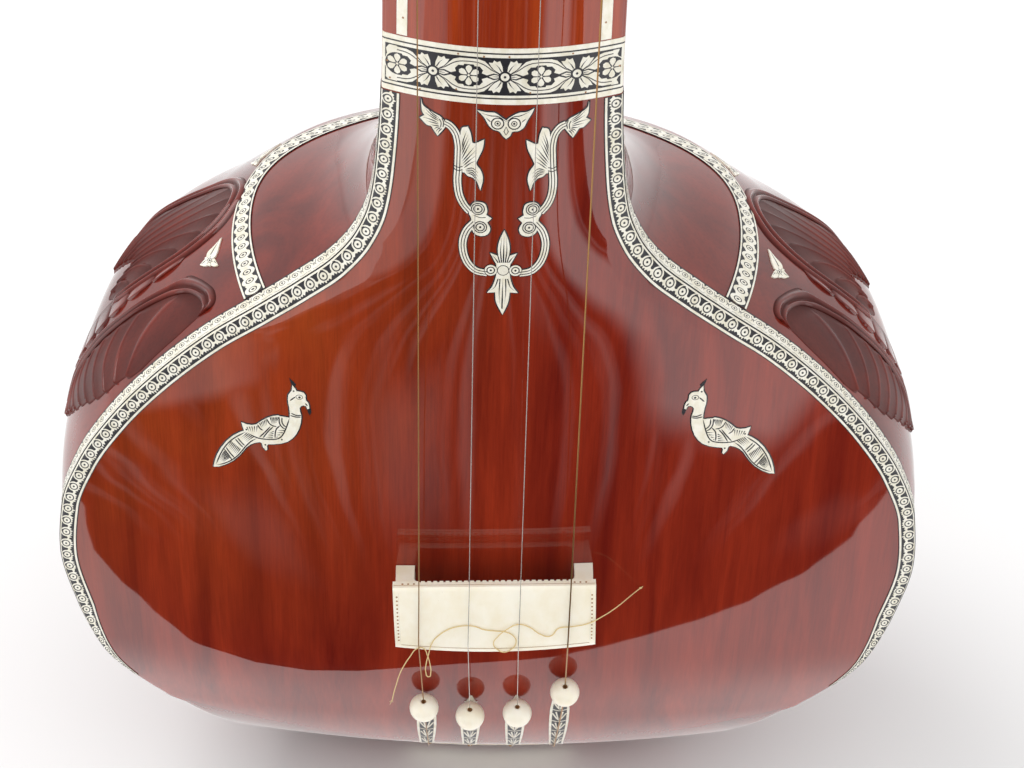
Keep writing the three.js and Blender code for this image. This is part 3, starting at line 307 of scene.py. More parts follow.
def filled(ring, spots=()):
    """A flat outline filled with faces that also use the given spots inside it."""
    flat = [Vector(p) for p in (*ring, *spots)]
    found, _, faces, *_ = delaunay_2d_cdt(flat, [], [list(range(len(ring)))], 1, 1e-6)
    used = sorted({i for f in faces for i in f})
    renumber = {old: new for new, old in enumerate(used)}
    return np.array([found[i] for i in used], float), [[renumber[i] for i in f] for f in faces]


class Shape:
    """Points in millimetres and faces of one piece, each face with the number of its finish."""

    def __init__(self):
        self.points, self.faces, self.finishes, self.count = [], [], [], 0

    def add(self, points, faces, finish=0, raised=None):
        """Adds faces; where raised points are given, the faces are turned to look towards them."""
        points = np.asarray(points, float).reshape(-1, 3)
        faces = [tuple(int(i) for i in f) for f in faces]
        if raised is not None:
            f = np.array([face[:3] for face in faces])
            normal = np.cross(points[f[:, 1]] - points[f[:, 0]], points[f[:, 2]] - points[f[:, 0]])
            out = np.asarray(raised, float).reshape(-1, 3)[f[:, 0]] - points[f[:, 0]]
            if np.sum(normal * out) < 0:
                faces = [face[::-1] for face in faces]
        self.points.append(points)
        self.faces += [tuple(i + self.count for i in f) for f in faces]
        self.finishes += [finish] * len(faces)
        self.count += len(points)

    def sheet(self, grid, finish=0, wrap=False, raised=None):
        """A skin through a grid of points."""
        self.add(grid, quads(*grid.shape[:2], wrap), finish, raised)

    def closed(self, grid, finish=0):
        """A closed body through rings of points, with a fan over each end, its faces looking outwards."""
        rows, columns = grid.shape[:2]
        points = np.concatenate([grid.reshape(-1, 3), [grid[0].mean(0)], [grid[-1].mean(0)]])
        faces = quads(rows, columns, True).tolist()
        last = (rows - 1) * columns
        for c in range(columns):
            n = (c + 1) % columns
            faces += [(n, c, rows * columns), (last + c, last + n, rows * columns + 1)]
        middle = points.mean(0)
        corners = (points[list(f[:3])] - middle for f in faces)
        volume = sum(np.dot(a, np.cross(b, c)) for a, b, c in corners)
        self.add(points, [f[::-1] for f in faces] if volume < 0 else faces, finish)

    def turned(self, profile, at, out, sides=48, finish=0):
        """A turned body about a line, from [radius, place along it] rows."""
        out = unit(np.asarray(out, float))
        side, other = round_axes(out)
        turn = circle(sides)[:, None]
        ring = np.cos(turn) * side + np.sin(turn) * other
        grid = np.array([np.asarray(at) + out * place + ring * radius for radius, place in profile])
        self.closed(grid, finish)

    def tube(self, points, radii, sides=10, finish=0):
        """A round tube along points."""
        p = np.asarray(points, float)
        radii = np.broadcast_to(np.asarray(radii, float), len(p))
        run = unit(np.gradient(p, axis=0))
        side = unit(np.cross(run[0], [0.31, 0.95, 0.1]))
        turn = circle(sides)[:, None]
        rings = []
        for spot, way, radius in zip(p, run, radii):
            side = unit(side - way * np.dot(side, way))
            rings.append(spot + radius * (np.cos(turn) * side + np.sin(turn) * np.cross(way, side)))
        self.closed(np.array(rings), finish)

    def plate(self, outline, place, low, high, finish=0, step=3.0):
        """A thin plate with a flat outline laid on a surface, filled so that it follows the surface."""
        ring = np.asarray(outline, float)
        if signed_area(ring) < 0:
            ring = ring[::-1]
        pieces = []
        for a, b in zip(ring, np.roll(ring, -1, axis=0)):
            cuts = max(1, int(np.ceil(np.linalg.norm(b - a) / step)))
            pieces.append(a + (b - a) * np.linspace(0, 1, cuts, endpoint=False)[:, None])
        ring = np.vstack(pieces)
        lo, hi = ring.min(0), ring.max(0)
        gx, gy = np.meshgrid(*(np.arange(lo[k] + step / 2, hi[k], step) for k in (0, 1)))
        spots = np.stack([gx.ravel(), gy.ravel()], -1)
        if len(spots):
            spots = spots[inside(ring, spots)]
        spots, faces = filled(ring, spots)
        top, above = (place(spots[:, 0], spots[:, 1], lift) for lift in (high, high + 1))
        self.add(top, faces, finish, above)
        wall = np.stack([place(ring[:, 0], ring[:, 1], low), place(ring[:, 0], ring[:, 1], high)])
        run = np.roll(ring, -1, 0) - np.roll(ring, 1, 0)
        outer = ring + unit(np.stack([run[:, 1], -run[:, 0]], -1))
        self.sheet(wall, finish, True, np.stack([place(outer[:, 0], outer[:, 1], low)] * 2))

    def line(self, points, width, place, lift, finish=1, spacing=0.7, tapers=(0, 0), closed=False):
        """A low thread of wax or bone along a line on a surface; a taper narrows that share of each end."""
        p = np.vstack([points, points[:1]]) if closed else smooth_line(points, spacing)
        t = np.linspace(0, 1, len(p))
        half = np.full(len(p), width / 2)
        for taper, share in zip(tapers, (t, 1 - t)):
            if taper:
                half = half * np.clip(share / taper, 0.12, 1)
        way = np.gradient(p, axis=0)
        if closed:
            way[0] = way[-1] = (p[1] - p[-2]) / 2
        way = unit(way)
        side = np.stack([-way[:, 1], way[:, 0]], -1)
        rows = []
        for share, rise in ((-1, -0.05), (-0.75, 0.03), (0.75, 0.03), (1, -0.05)):
            q = p + side * (half * share)[:, None]
            rows.append(place(q[:, 0], q[:, 1], lift + rise))
        grid = np.stack(rows, 1)
        self.sheet(grid, finish, False, place(p[:, 0], p[:, 1], lift + 1)[:, None] + 0 * grid)

    def disc(self, x, y, rx, place, lift, finish=0, ry=None, sides=14, low=None):
        """A small round or oval plate."""
        low = lift - 0.06 if low is None else low
        self.plate(oval(x, y, rx, ry or rx, sides), place, low, lift, finish, step=50)

    def ring(self, x, y, rx, width, place, lift, finish=1, ry=None, sides=22):
        """A round or oval line."""
        self.line(oval(x, y, rx, ry or rx, sides), width, place, lift, finish, closed=True)


def make(name, shape, finishes, body=BODY, slot=None, stands_for=None, sharp=40, weld=True):
    """Turns a shape into a Blender piece that rides on a body and stands for its CAD node."""
    mesh = bpy.data.meshes.new(name)
    mesh.from_pydata((np.vstack(shape.points) * MM).tolist(), [], shape.faces)
    for finish in finishes.split():
        mesh.materials.append(FINISHES[finish])
    mesh.polygons.foreach_set("material_index", shape.finishes)
    if weld:
        work = bmesh.new()
        work.from_mesh(mesh)
        bmesh.ops.remove_doubles(work, verts=work.verts, dist=2e-6)
        bmesh.ops.dissolve_degenerate(work, edges=work.edges, dist=1e-7)
        work.to_mesh(mesh)
        work.free()
    mesh.polygons.foreach_set("use_smooth", [True] * len(mesh.polygons))
    mesh.set_sharp_from_angle(angle=math.radians(sharp))
    mesh.update()
    piece = bpy.data.objects.new(name, mesh)
    bpy.context.scene.collection.objects.link(piece)
    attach(piece, body)
    if stands_for:
        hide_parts(stands_for)
    return piece


def linear(hex_colour):
    """An sRGB hex colour as the linear colour that a shader works with."""
    channels = [int(hex_colour[i:i + 2], 16) / 255 for i in (1, 3, 5)]
    return tuple(c / 12.92 if c <= 0.04045 else ((c + 0.055) / 1.055) ** 2.4 for c in channels) + (1.0,)


def add_node(tree, kind, inputs=None, **settings):
    """Adds a shader node with its settings; an input is a value, or a node or socket that is linked to it."""
    node = tree.nodes.new("ShaderNode" + kind)
    for name, value in settings.items():
        setattr(node, name, value)
    for name, value in (inputs or {}).items():
        source = value.outputs[0] if isinstance(value, bpy.types.Node) else value
        if isinstance(source, bpy.types.NodeSocket):
            tree.links.new(source, node.inputs[name])
        else:
            node.inputs[name].default_value = source
    return node


def empty_tree(owner):
    """The node tree of a material or a world, with nothing in it."""
    owner.use_nodes = True
    owner.node_tree.nodes.clear()
    return owner.node_tree


def new_finish(name):
    """A new material, its node tree, and the place on the piece in metres that its patterns follow."""
    material = bpy.data.materials.new(name)
    tree = empty_tree(material)
    return material, tree, add_node(tree, "TexCoord").outputs["Object"]


def finished(material, shader):
    """The material with a shader that takes the given values and patterns."""
    surface = add_node(material.node_tree, "BsdfPrincipled", shader)
    add_node(material.node_tree, "OutputMaterial", {"Surface": surface})
    return material


def patches(tree, place, millimetres, detail=3.0, roughness=0.55, distortion=0.0):
    """Cloudy patches, from 0 to 1, that are so many millimetres in x, y and z."""
    scale = tuple(1 / (size * MM) for size in millimetres)
    inputs = {
        "Vector": add_node(tree, "Mapping", {"Vector": place, "Scale": scale}),
        "Scale": 1.0, "Detail": detail, "Roughness": roughness, "Distortion": distortion,
    }
    return add_node(tree, "TexNoise", inputs).outputs["Fac"]


def two_tones(tree, pattern, low, high, dark, light):
    """Dark where a pattern is below low and light where it is above high."""
    share = add_node(tree, "MapRange", {"Value": pattern, "From Min": low, "From Max": high})
    return add_node(tree, "Mix", {0: share, 6: dark, 7: light}, data_type="RGBA").outputs[2]


def shaded(tree, colour, pattern, low, high, least, most):
    """A colour times least where a pattern is below low, and times most where it is above high."""
    share = {"Value": pattern, "From Min": low, "From Max": high, "To Min": least, "To Max": most}
    inputs = {0: 1.0, 6: colour, 7: add_node(tree, "MapRange", share)}
    return add_node(tree, "Mix", inputs, data_type="RGBA", blend_type="MULTIPLY").outputs[2]


# A hand-rubbed lacquer: a hard clear coat with the index of a resin over stained wood
LACQUER = {
    "Roughness": 0.42, "IOR": 1.5, "Specular IOR Level": 0.03,
    "Coat Weight": 1.0, "Coat Roughness": 0.035, "Coat IOR": 1.5,
}


def rubbed(tree, place, depth_mm):
    """The faint waves of a hand-rubbed coat, a few centimetres long, which bend what it reflects."""
    waves = patches(tree, place, (34, 34, 46), 1.5, 0.4)
    return add_node(tree, "Bump", {"Height": waves, "Strength": 1.0, "Distance": depth_mm * MM})


def face_wood(colours):
    """Toon wood board, stained and lacquered: streaks 20 mm wide run down it, with fine pores along them."""
    material, tree, place = new_finish("Lacquered toon wood board")
    streaks = patches(tree, place, (19, 40, 210), 5.0, 0.62, 0.5)
    colour = two_tones(tree, streaks, 0.34, 0.66, colours.face_wood_dark, colours.face_wood)
    # Lighter amber clouds, placed only on the upper left of the face
    axes = add_node(tree, "SeparateXYZ", {0: place}).outputs
    left = add_node(tree, "MapRange", {"Value": axes[0], "From Min": 0.03, "From Max": -0.15})
    upper = add_node(tree, "MapRange", {"Value": axes[2], "From Min": 0.1, "From Max": 0.34})
    clouds = patches(tree, place, (60, 60, 90), 3.0, 0.6, 0.8)
    warm = add_node(tree, "Math", {0: left, 1: clouds}, operation="MULTIPLY")
    amber = add_node(tree, "Math", {0: warm, 1: upper}, operation="MULTIPLY", use_clamp=True)
    colour = two_tones(tree, amber, 0.0, 1.0, colour, colours.face_upper_left_amber)
    pores = patches(tree, place, (0.7, 3, 26), 4.0, 0.7)
    colour = shaded(tree, colour, pores, 0.3, 0.6, 0.84, 1.04)
    return finished(material, {**LACQUER, "Base Color": colour, "Coat Normal": rubbed(tree, place, 0.16)})


def neck_wood(colours):
    """Toon wood neck: lighter, straight grain 7 mm wide under the same lacquer."""
    material, tree, place = new_finish("Lacquered toon wood neck")
    streaks = patches(tree, place, (7, 14, 190), 5.0, 0.6, 0.35)
    colour = two_tones(tree, streaks, 0.34, 0.64, colours.neck_wood_dark, colours.neck_wood)
    pores = patches(tree, place, (0.6, 3, 22), 4.0, 0.7)
    colour = shaded(tree, colour, pores, 0.3, 0.6, 0.85, 1.04)
    return finished(material, {**LACQUER, "Base Color": colour, "Coat Normal": rubbed(tree, place, 0.1)})


def gourd_skin(colours, carved=False):
    """Dried gourd, stained and lacquered: clouds 40 mm wide; on carving, painted shade darkens the cuts and
    painted highlight lightens the ridges.
    """
    material, tree, place = new_finish("Carved and lacquered wood" if carved else "Lacquered dried gourd")
    shader = dict(LACQUER)
    clouds = patches(tree, place, (38, 38, 46), 4.0, 0.55, 0.6)
    colour = two_tones(tree, clouds, 0.36, 0.64, colours.gourd_dark, colours.gourd)
    if carved:
        # The attribute is painted shade and highlight: the colour goes dark in the cuts and light on ridges
        # and quills, and the coat is thinned with it so that the cuts reflect less
        shade_and_highlight = add_node(tree, "Attribute", attribute_name="carving").outputs["Fac"]
        colour = two_tones(tree, shade_and_highlight, 0.0, 1.0, colours.carving_painted_shade, colour)
        coat = {"Value": shade_and_highlight, "From Min": 0.1, "From Max": 0.9, "To Min": 0.18}
        shader["Coat Weight"] = add_node(tree, "MapRange", coat)
    specks = patches(tree, place, (1.6, 1.6, 1.9), 2.0, 0.5)
    shader["Base Color"] = shaded(tree, colour, specks, 0.3, 0.55, 0.86, 1.03)
    shader["Coat Normal"] = rubbed(tree, place, 0.04 if carved else 0.22)
    return finished(material, shader)


def bone(name, light, dark, roughness, size_mm):
    """Sawn and rubbed bone: faint yellow clouds and short brown pores give it age."""
    material, tree, place = new_finish(name)
    clouds = patches(tree, place, (size_mm, size_mm, size_mm * 1.6), 4.0, 0.6)
    colour = two_tones(tree, clouds, 0.4, 0.7, light, dark)
    pores = patches(tree, place, (0.35, 0.35, 1.6), 2.0, 0.6)
    marks = add_node(tree, "MapRange", {"Value": pores, "From Min": 0.7, "From Max": 0.78, "To Max": 0.22})
    stain = {0: marks, 6: colour, 7: linear("#8f6a44")}
    grain = patches(tree, place, (0.5, 0.5, 3.0), 3.0, 0.6)
    return finished(material, {
        "Base Color": add_node(tree, "Mix", stain, data_type="RGBA", blend_type="MULTIPLY").outputs[2],
        "Normal": add_node(tree, "Bump", {"Height": grain, "Strength": 0.4, "Distance": 0.03 * MM}),
        "Roughness": roughness, "IOR": 1.54,
        "Subsurface Weight": 0.08, "Subsurface Radius": (0.004, 0.003, 0.002), "Subsurface Scale": 0.5,
    })


def wax(colours):
    """Black engraver's wax rubbed into the cuts: nearly matt, a little blue."""
    material, tree, place = new_finish("Black engraving wax")
    clouds = patches(tree, place, (1.2, 1.2, 1.2), 2.0)
    colour = two_tones(tree, clouds, 0.0, 1.0, colours.wax, linear("#2a2930"))
    return finished(material, {"Base Color": colour, "Roughness": 0.38, "IOR": 1.45})


def metal(name, colour, roughness):
    """Drawn wire: bright metal with fine draw marks along it and a trace of handling."""
    material, tree, place = new_finish(name)
    colour = shaded(tree, colour, patches(tree, place, (3, 3, 40), 3.0), 0.0, 1.0, 0.82, 1.05)
    return finished(material, {"Base Color": colour, "Metallic": 1.0, "Roughness": roughness})


def cotton(colours):
    """Twisted cotton thread, a little waxed: fibres 0.15 mm thick, no gloss."""
    material, tree, place = new_finish("Waxed cotton thread")
    fibres = patches(tree, place, (0.15, 0.15, 0.3), 2.0)
    return finished(material, {
        "Base Color": two_tones(tree, fibres, 0.0, 1.0, colours.cotton, linear("#cdaa66")),
        "Normal": add_node(tree, "Bump", {"Height": fibres, "Strength": 0.6, "Distance": 0.05 * MM}),
        "Roughness": 0.85, "Sheen Weight": 0.2,
    })


def plain_wood(name, dark, light, roughness, coat, along):
    """Turned or sawn wood: grain lines under 1 mm wide run along the piece."""
    material, tree, place = new_finish(name)
    grain = patches(tree, place, along, 5.0, 0.65, 0.3)
    return finished(material, {
        "Base Color": two_tones(tree, grain, 0.35, 0.65, dark, light),
        "Normal": add_node(tree, "Bump", {"Height": grain, "Strength": 0.3, "Distance": 0.05 * MM}),
        "Roughness": roughness, "IOR": 1.5, "Coat Weight": coat, "Coat Roughness": 0.08,
    })


def colour_property(name, description, hex_colour):
    return FloatVectorProperty(
        name=name, description=description, default=linear(hex_colour), subtype="COLOR",
        size=4, min=0.0, max=1.0,
    )


def length_property(name, description, millimetres):
    return FloatProperty(
        name=name, description=description, default=millimetres * MM, min=0.0,
        subtype="DISTANCE", unit="LENGTH", precision=5,
    )


class TanpuraColours(bpy.types.PropertyGroup):
    """Colours of the instrument's materials"""

    face_wood: colour_property("Face wood", "Light streaks of the lacquered face", "#8e2a14")
    face_wood_dark: colour_property("Face wood, dark", "Dark streaks of the lacquered face", "#671409")
    # Amber that the face takes only on its upper left, lighter than the rest
    face_upper_left_amber: colour_property("Face wood, amber", "Amber patches on the left of the face", "#b5561c")
    neck_wood: colour_property("Neck wood", "Light grain of the neck", "#a33c14")
    neck_wood_dark: colour_property("Neck wood, dark", "Dark grain of the neck", "#82240e")
    gourd: colour_property("Gourd", "Light patches of the gourd", "#7c2414")
    gourd_dark: colour_property("Gourd, dark", "Dark patches of the gourd", "#5c150c")
    # Painted shade: the dark colour laid into the cuts of the carved leaves
    carving_painted_shade: colour_property("Carving", "Stain in the cuts of the carved leaves", "#3e0f08")
    bone: colour_property("Bone", "Bone of bridge, nut and beads", "#fbf5e4")
    inlay: colour_property("Inlay", "Bone of the engraved inlay", "#f5f1e3")
    wax: colour_property("Wax", "Black wax in the engraving", "#131217")
    peg_wood: colour_property("Pegs", "Rosewood of the pegs", "#3a1a10")
    steel: colour_property("Steel", "Plain steel strings", "#a5a19b")
    bronze: colour_property("Bronze", "Bronze strings", "#8d6a40")
    cotton: colour_property("Thread", "Cotton thread under the strings", "#e8d6a4")


class TanpuraSizes(bpy.types.PropertyGroup):
    """Fine sizes that the CAD leaves to the looks"""

    edge_radius: length_property("Edge radius", "Rounding of the edge of the face", 1.4)
    inlay_proud: length_property("Inlay height", "How far inlay stands off the surface", 0.35)
    inlay_depth: length_property("Inlay depth", "How far inlay goes into the surface", 0.3)
    engraving_width: length_property("Engraving width", "Width of an engraved line", 0.55)
    eye_pitch: length_property("Eye pitch", "Distance between two eyes of the rim band", 7.0)
    carving_depth: length_property("Carving depth", "Relief of the carved leaves", 2.4)
    mesh_rows: IntProperty(name="Mesh rows", description="Rows of the body's meshes", default=150, min=24,
                           max=400)


class TanpuraStudio(bpy.types.PropertyGroup):
    """Camera, light and floor"""

    lens: FloatProperty(name="Lens", description="Focal length in mm on a 36 mm sensor", default=80.51)
    tilt: FloatProperty(name="Tilt", description="How far the camera looks down", subtype="ANGLE",
                        unit="ROTATION", default=math.radians(34.957))
    sky: FloatProperty(name="Sky", description="Strength of the even light all round", default=1.06, min=0.0)
    lamp: FloatProperty(name="Lamp", description="Power of the soft lamp in watts", default=62.0, min=0.0)
    floor: colour_property("Floor", "Pale floor", "#ececec")
    floor_glow: FloatProperty(name="Floor glow", description="Light added where gloss mirrors the floor",
                              default=1.3, min=0.0)


def inlay_sizes(context):
    """Where inlay starts and ends off the surface, and how wide its lines are, in millimetres."""
    group = context.scene.tanpura_sizes
    return -group.inlay_depth / MM, group.inlay_proud / MM, group.engraving_width / MM


class TANPURA_OT_finishes(bpy.types.Operator):
    """Makes the materials: lacquered wood and gourd, bone, inlay, wax, wire, thread, pegs"""

    bl_idname = "tanpura.finishes"
    bl_label = "Finishes"

    def execute(self, context):
        c = context.scene.tanpura_colours
        FINISHES.update(
            face=face_wood(c),
            neck=neck_wood(c),
            gourd=gourd_skin(c),
            carved=gourd_skin(c, True),
            bone=bone("Rubbed bone", c.bone, linear("#f3e9cf"), 0.3, 14),
            inlay=bone("Engraved bone inlay", c.inlay, linear("#e3dcc4"), 0.24, 4),
            brown=bone("Stained bone", linear("#a87a48"), linear("#8a5c34"), 0.4, 2),
            wax=wax(c),
            steel=metal("Drawn steel wire", c.steel, 0.24),
            bronze=metal("Drawn bronze wire", c.bronze, 0.3),
            cotton=cotton(c),
            pegs=plain_wood("Turned rosewood", c.peg_wood, linear("#5e2f1b"), 0.4, 0.6, (0.9, 12, 0.9)),
            raw=plain_wood("Raw sawn softwood", linear("#a97b4c"), linear("#cda372"), 0.7, 0.0,
                           (12, 0.8, 0.8)),
        )
        return {"FINISHED"}


def spread_x(index):
    return STRING_SIGNS[index] * STRING_SPREADS[index] / 2


def string_x(index):
    return STRING_SHIFT + spread_x(index)


def bead_x(index):
    return BEAD_SHIFT + spread_x(index) * 0.98


def tail_x(index):
    return BEAD_SHIFT + spread_x(index) * 0.92


# Where the bridge plate's highest line, its underside and the foot of its comb lie, in y
CREST = float(on_face(0, BRIDGE_Z)[1]) - BRIDGE_HEIGHT
PLATE_UNDER = CREST + PLATE_THICKNESS + PLATE_DROP
COMB_Y = PLATE_UNDER - 1.5


def plate_top(up):
    share = np.maximum(-1, np.asarray(up, float) / (BRIDGE_DEPTH / 2))
    return CREST + PLATE_DROP * share * share


# The thread's middle line: x, z, and how far it stands off, from 0 on the face to 1 on the bridge plate
THREAD = [
    (-44, 101.5, 0.9), (-43.2, 107, 0.94), (-42, 113, 0.97), (-40.6, 119.5, 1), (-38.4, 126, 1.03),
    (-35.6, 131.8, 1.04), (-32.6, 136, 1.01), (-29.6, 136.4, 1.01), (-27.6, 132.4, 1.03),
    (-26.4, 127, 1.03), (-26, 121.6, 1.01), (-27, 118.6, 1), (-28.3, 121.4, 1), (-28.2, 127, 1.03),
    (-27.2, 133, 1.05), (-25.6, 139.6, 1), (-22.4, 145.2, 1), (-17.6, 149.4, 1), (-12, 151.4, 1),
    (-6.6, 151.4, 1), (-2, 149.4, 1), (3.4, 148.6, 1), (8.4, 148, 1), (12, 145.2, 1), (13.1, 141, 1),
    (11.2, 136.6, 1), (7.6, 134.6, 1), (4.2, 136.6, 1), (2.7, 141, 1.03), (4.4, 146, 1.06),
    (8.6, 150.6, 1.04), (14, 153, 1), (19.4, 151, 1), (24.4, 146.8, 1), (28.6, 145.8, 1), (32.4, 151, 1),
    (38.6, 152.2, 1), (44.6, 153.8, 1), (50, 157, 1), (71.2, 155.6, 0),
]
THREAD_DIAMETER = 0.5


def thread_points():
    above = CLEARANCE + THREAD_DIAMETER / 2
    spots = []
    for x, z, off in THREAD:
        low, high = float(on_face(x, z)[1]) - above, float(plate_top(z - BRIDGE_Z)) - above
        spots.append((x, mix(low, high, off), z))
    return np.array(spots)


class TANPURA_OT_thread(bpy.types.Operator):
    """Lays the cotton thread under the strings, its ends a little frayed"""

    bl_idname = "tanpura.thread"
    bl_label = "Cotton thread"

    def execute(self, context):
        spots = thread_points()
        data = bpy.data.curves.new("cotton_thread", "CURVE")
        data.dimensions = "3D"
        data.bevel_depth = THREAD_DIAMETER / 2 * MM
        data.bevel_resolution = 3
        data.resolution_u = 6
        data.use_fill_caps = True
        spline = data.splines.new("BEZIER")
        spline.bezier_points.add(len(spots) - 1)
        for knot, spot in zip(spline.bezier_points, spots * MM):
            knot.co = spot
            knot.handle_left_type = knot.handle_right_type = "AUTO"
        data.materials.append(FINISHES["cotton"])
        thread = bpy.data.objects.new("cotton_thread", data)
        context.scene.collection.objects.link(thread)
        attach(thread, BODY)
        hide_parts("jiva_thread")
        fray = Shape()
        rng = random.Random(4)
        for end, before in ((spots[0], spots[2]), (spots[-1], spots[-2])):
            way = unit(end - before)
            for _ in range(4):
                drift = np.array([rng.uniform(-1, 1), 0.25 * rng.uniform(-1, 0.6), rng.uniform(-1, 1)])
                reach = rng.uniform(1.2, 2.6)
                middle = end + way * reach * 0.45 + drift * 0.35
                tip = end + way * reach + drift * 1.1
                fray.tube(smooth_line([end - way * 0.6, middle, tip], 0.3), 0.09, 5)
        # The right end is bound with a few turns of its own fibre
        way = unit(spots[-1] - spots[-2])
        wound = [spots[-1] + np.array([math.cos(t), 0, math.sin(t)]) * 0.42 + way * (t * 0.08 - 1)
                 for t in np.linspace(0, 4 * math.pi, 40)]
        fray.tube(np.array(wound), 0.16, 6)
        ends = make("thread_ends", fray, "cotton", slot="cotton_thread")
        return {"FINISHED"}


# The camera's place in metres, and how far it is turned to the side and rolled
CAMERA_PLACE = (-0.01425, -0.9308, 0.8429)
CAMERA_TURN = math.radians(1.538)
CAMERA_ROLL = math.radians(1.989)


def add_camera(studio):
    """The photograph's camera, fitted to the shape of the instrument."""
    down, turn, roll = studio.tilt, CAMERA_TURN, CAMERA_ROLL
    ahead = Vector((math.sin(turn) * math.cos(down), math.cos(turn) * math.cos(down), -math.sin(down)))
    right = Vector((math.cos(turn), -math.sin(turn), 0))
    up = right.cross(ahead)
    x_axis = right * math.cos(roll) + up * math.sin(roll)
    y_axis = up * math.cos(roll) - right * math.sin(roll)
    data = bpy.data.cameras.new("camera")
    data.lens, data.sensor_width, data.clip_end = studio.lens, 36.0, 100.0
    camera = bpy.data.objects.new("camera", data)
    rows = zip(x_axis, y_axis, -ahead, CAMERA_PLACE)
    camera.matrix_world = Matrix((*rows, (0, 0, 0, 1)))
    bpy.context.scene.collection.objects.link(camera)
    bpy.context.scene.camera = camera


# Edge of the glowing card on the floor that paints the face's dark reflections, worked out from where the
# photograph's face stops mirroring white paper
CARD_EDGE = [(-2600, -9000), (2600, -9000), (700, -900), (352, -431), (316, -381), (269, -323),
              (222, -286), (175, -255), (130, -240), (88, -229), (22, -211), (-13, -198), (-72, -165),
              (-101, -156), (-133, -162), (-168, -190), (-201, -214), (-236, -244), (-271, -287),
              (-297, -336), (-420, -520), (-800, -1100)]
# Painted reflections of window light, as pale glowing strips on that card: slopes to left and right, metres
# away, strength
PAINTED_REFLECTION_STRIPS = [(0.36, 0.76, 0.44, 2.2, 2.5), (-0.95, -0.5, 0.58, 9.0, 1.4), (-0.34, -0.06, 0.3, 0.56, 0.6),
               (0.1, 0.24, 0.54, 0.82, 0.7), (-0.85, -0.55, 0.26, 0.42, 0.5), (0.9, 1.2, 0.3, 0.42, 0.9)]
SOFT_SIDE = 0.1
CARD_HEIGHT = 0.002
FLOOR_HALF = 9.0


def soft_strip(tree, value, low, high):
    """1 between low and high and 0 beyond them, with soft sides."""
    start, end = (
        add_node(tree, "MapRange", {"Value": value, "From Min": at, "From Max": at + SOFT_SIDE},
                 interpolation_type="SMOOTHSTEP")
        for at in (low, high - SOFT_SIDE)
    )
    return add_node(tree, "Math", {0: start, 1: end}, operation="SUBTRACT")


def paper_floor(studio):
    """Matt pale paper; ahead of the gourd it glows for glossy rays only, a painted reflection brighter than
    the paper, and for camera rays far off it grows brighter where it meets the sky.
    """
    material, tree, place = new_finish("Pale paper floor")
    rays = add_node(tree, "LightPath").outputs
    y = add_node(tree, "SeparateXYZ", {0: place}).outputs[1]
    # Painted reflection: ahead of the gourd the floor glows, but only in what gloss mirrors
    glow = {"Value": y, "From Min": 0.0, "From Max": -0.13, "To Max": studio.floor_glow}
    ahead = add_node(tree, "MapRange", glow, interpolation_type="SMOOTHSTEP")
    gloss = add_node(tree, "Math", {0: rays["Is Glossy Ray"], 1: ahead}, operation="MULTIPLY")
    reach = add_node(tree, "VectorMath", {0: place}, operation="LENGTH").outputs["Value"]
    far = add_node(tree, "MapRange", {"Value": reach, "From Min": 0.6, "From Max": 2.4, "To Max": 0.3},
                   interpolation_type="SMOOTHSTEP")
    seam = add_node(tree, "Math", {0: rays["Is Camera Ray"], 1: far}, operation="MULTIPLY")
    amount = add_node(tree, "Math", {0: gloss, 1: seam}, operation="ADD")
    glow = add_node(tree, "Emission", {"Color": (1, 1, 1, 1), "Strength": amount})
    both = add_node(tree, "AddShader", {0: add_node(tree, "BsdfDiffuse", {"Color": studio.floor}), 1: glow})
    add_node(tree, "OutputMaterial", {"Surface": both})
    return material


def reflection_card():
    """A dark card that glows, with faint folds and pale strips of window light: painted reflections, which
    the glossy face mirrors.
    """
    material, tree, place = new_finish("Dark cloth")
    axes = add_node(tree, "SeparateXYZ", {0: place}).outputs
    away = add_node(tree, "Math", {0: axes[1], 1: -1.0}, operation="MULTIPLY")
    beyond = add_node(tree, "Math", {0: away, 1: 0.1}, operation="SUBTRACT")
    slope = add_node(tree, "Math", {0: axes[0], 1: beyond}, operation="DIVIDE")
    folds = patches(tree, add_node(tree, "CombineXYZ", {"X": slope, "Y": away}), (62, 900, 1000), 2.0, 0.5)
    folds = add_node(tree, "MapRange", {"Value": folds, "From Min": 0.5, "From Max": 0.68},
                     interpolation_type="SMOOTHSTEP")
    far = add_node(tree, "MapRange", {"Value": away, "From Min": 0.3, "From Max": 0.42, "To Max": 0.8},
                   interpolation_type="SMOOTHSTEP")
    tone = add_node(tree, "Math", {0: folds, 1: far}, operation="MULTIPLY")
    for left, right, near, end, strength in PAINTED_REFLECTION_STRIPS:
        across, along = soft_strip(tree, slope, left, right), soft_strip(tree, away, near, end)
        pale = add_node(tree, "Math", {0: across, 1: along}, operation="MULTIPLY")
        pale = add_node(tree, "Math", {0: pale, 1: strength}, operation="MULTIPLY")
        tone = add_node(tree, "Math", {0: tone, 1: pale}, operation="MAXIMUM")
    tone = add_node(tree, "Math", {0: tone, 1: 0.012}, operation="ADD")
    # The card is no lamp: it glows with this strength and shows only in gloss, painting the face's
    # reflections
    shade = add_node(tree, "Emission", {"Color": (1.0, 0.96, 0.95, 1), "Strength": tone})
    add_node(tree, "OutputMaterial", {"Surface": shade})
    return material


def stage_plane(name, corners, material):
    """A flat piece of the studio, with its corners in metres."""
    mesh = bpy.data.meshes.new(name)
    mesh.from_pydata(corners, [], [tuple(range(len(corners)))])
    mesh.materials.append(material)
    plane = bpy.data.objects.new(name, mesh)
    bpy.context.scene.collection.objects.link(plane)
    return plane


# The soft lamp, high up, behind and to the left: its place, what it looks at, and its width, in metres
LAMP_PLACE = (-2.0, 0.9, 3.6)
LAMP_AIM = (0, 0, 0.15)
LAMP_WIDTH = 2.4


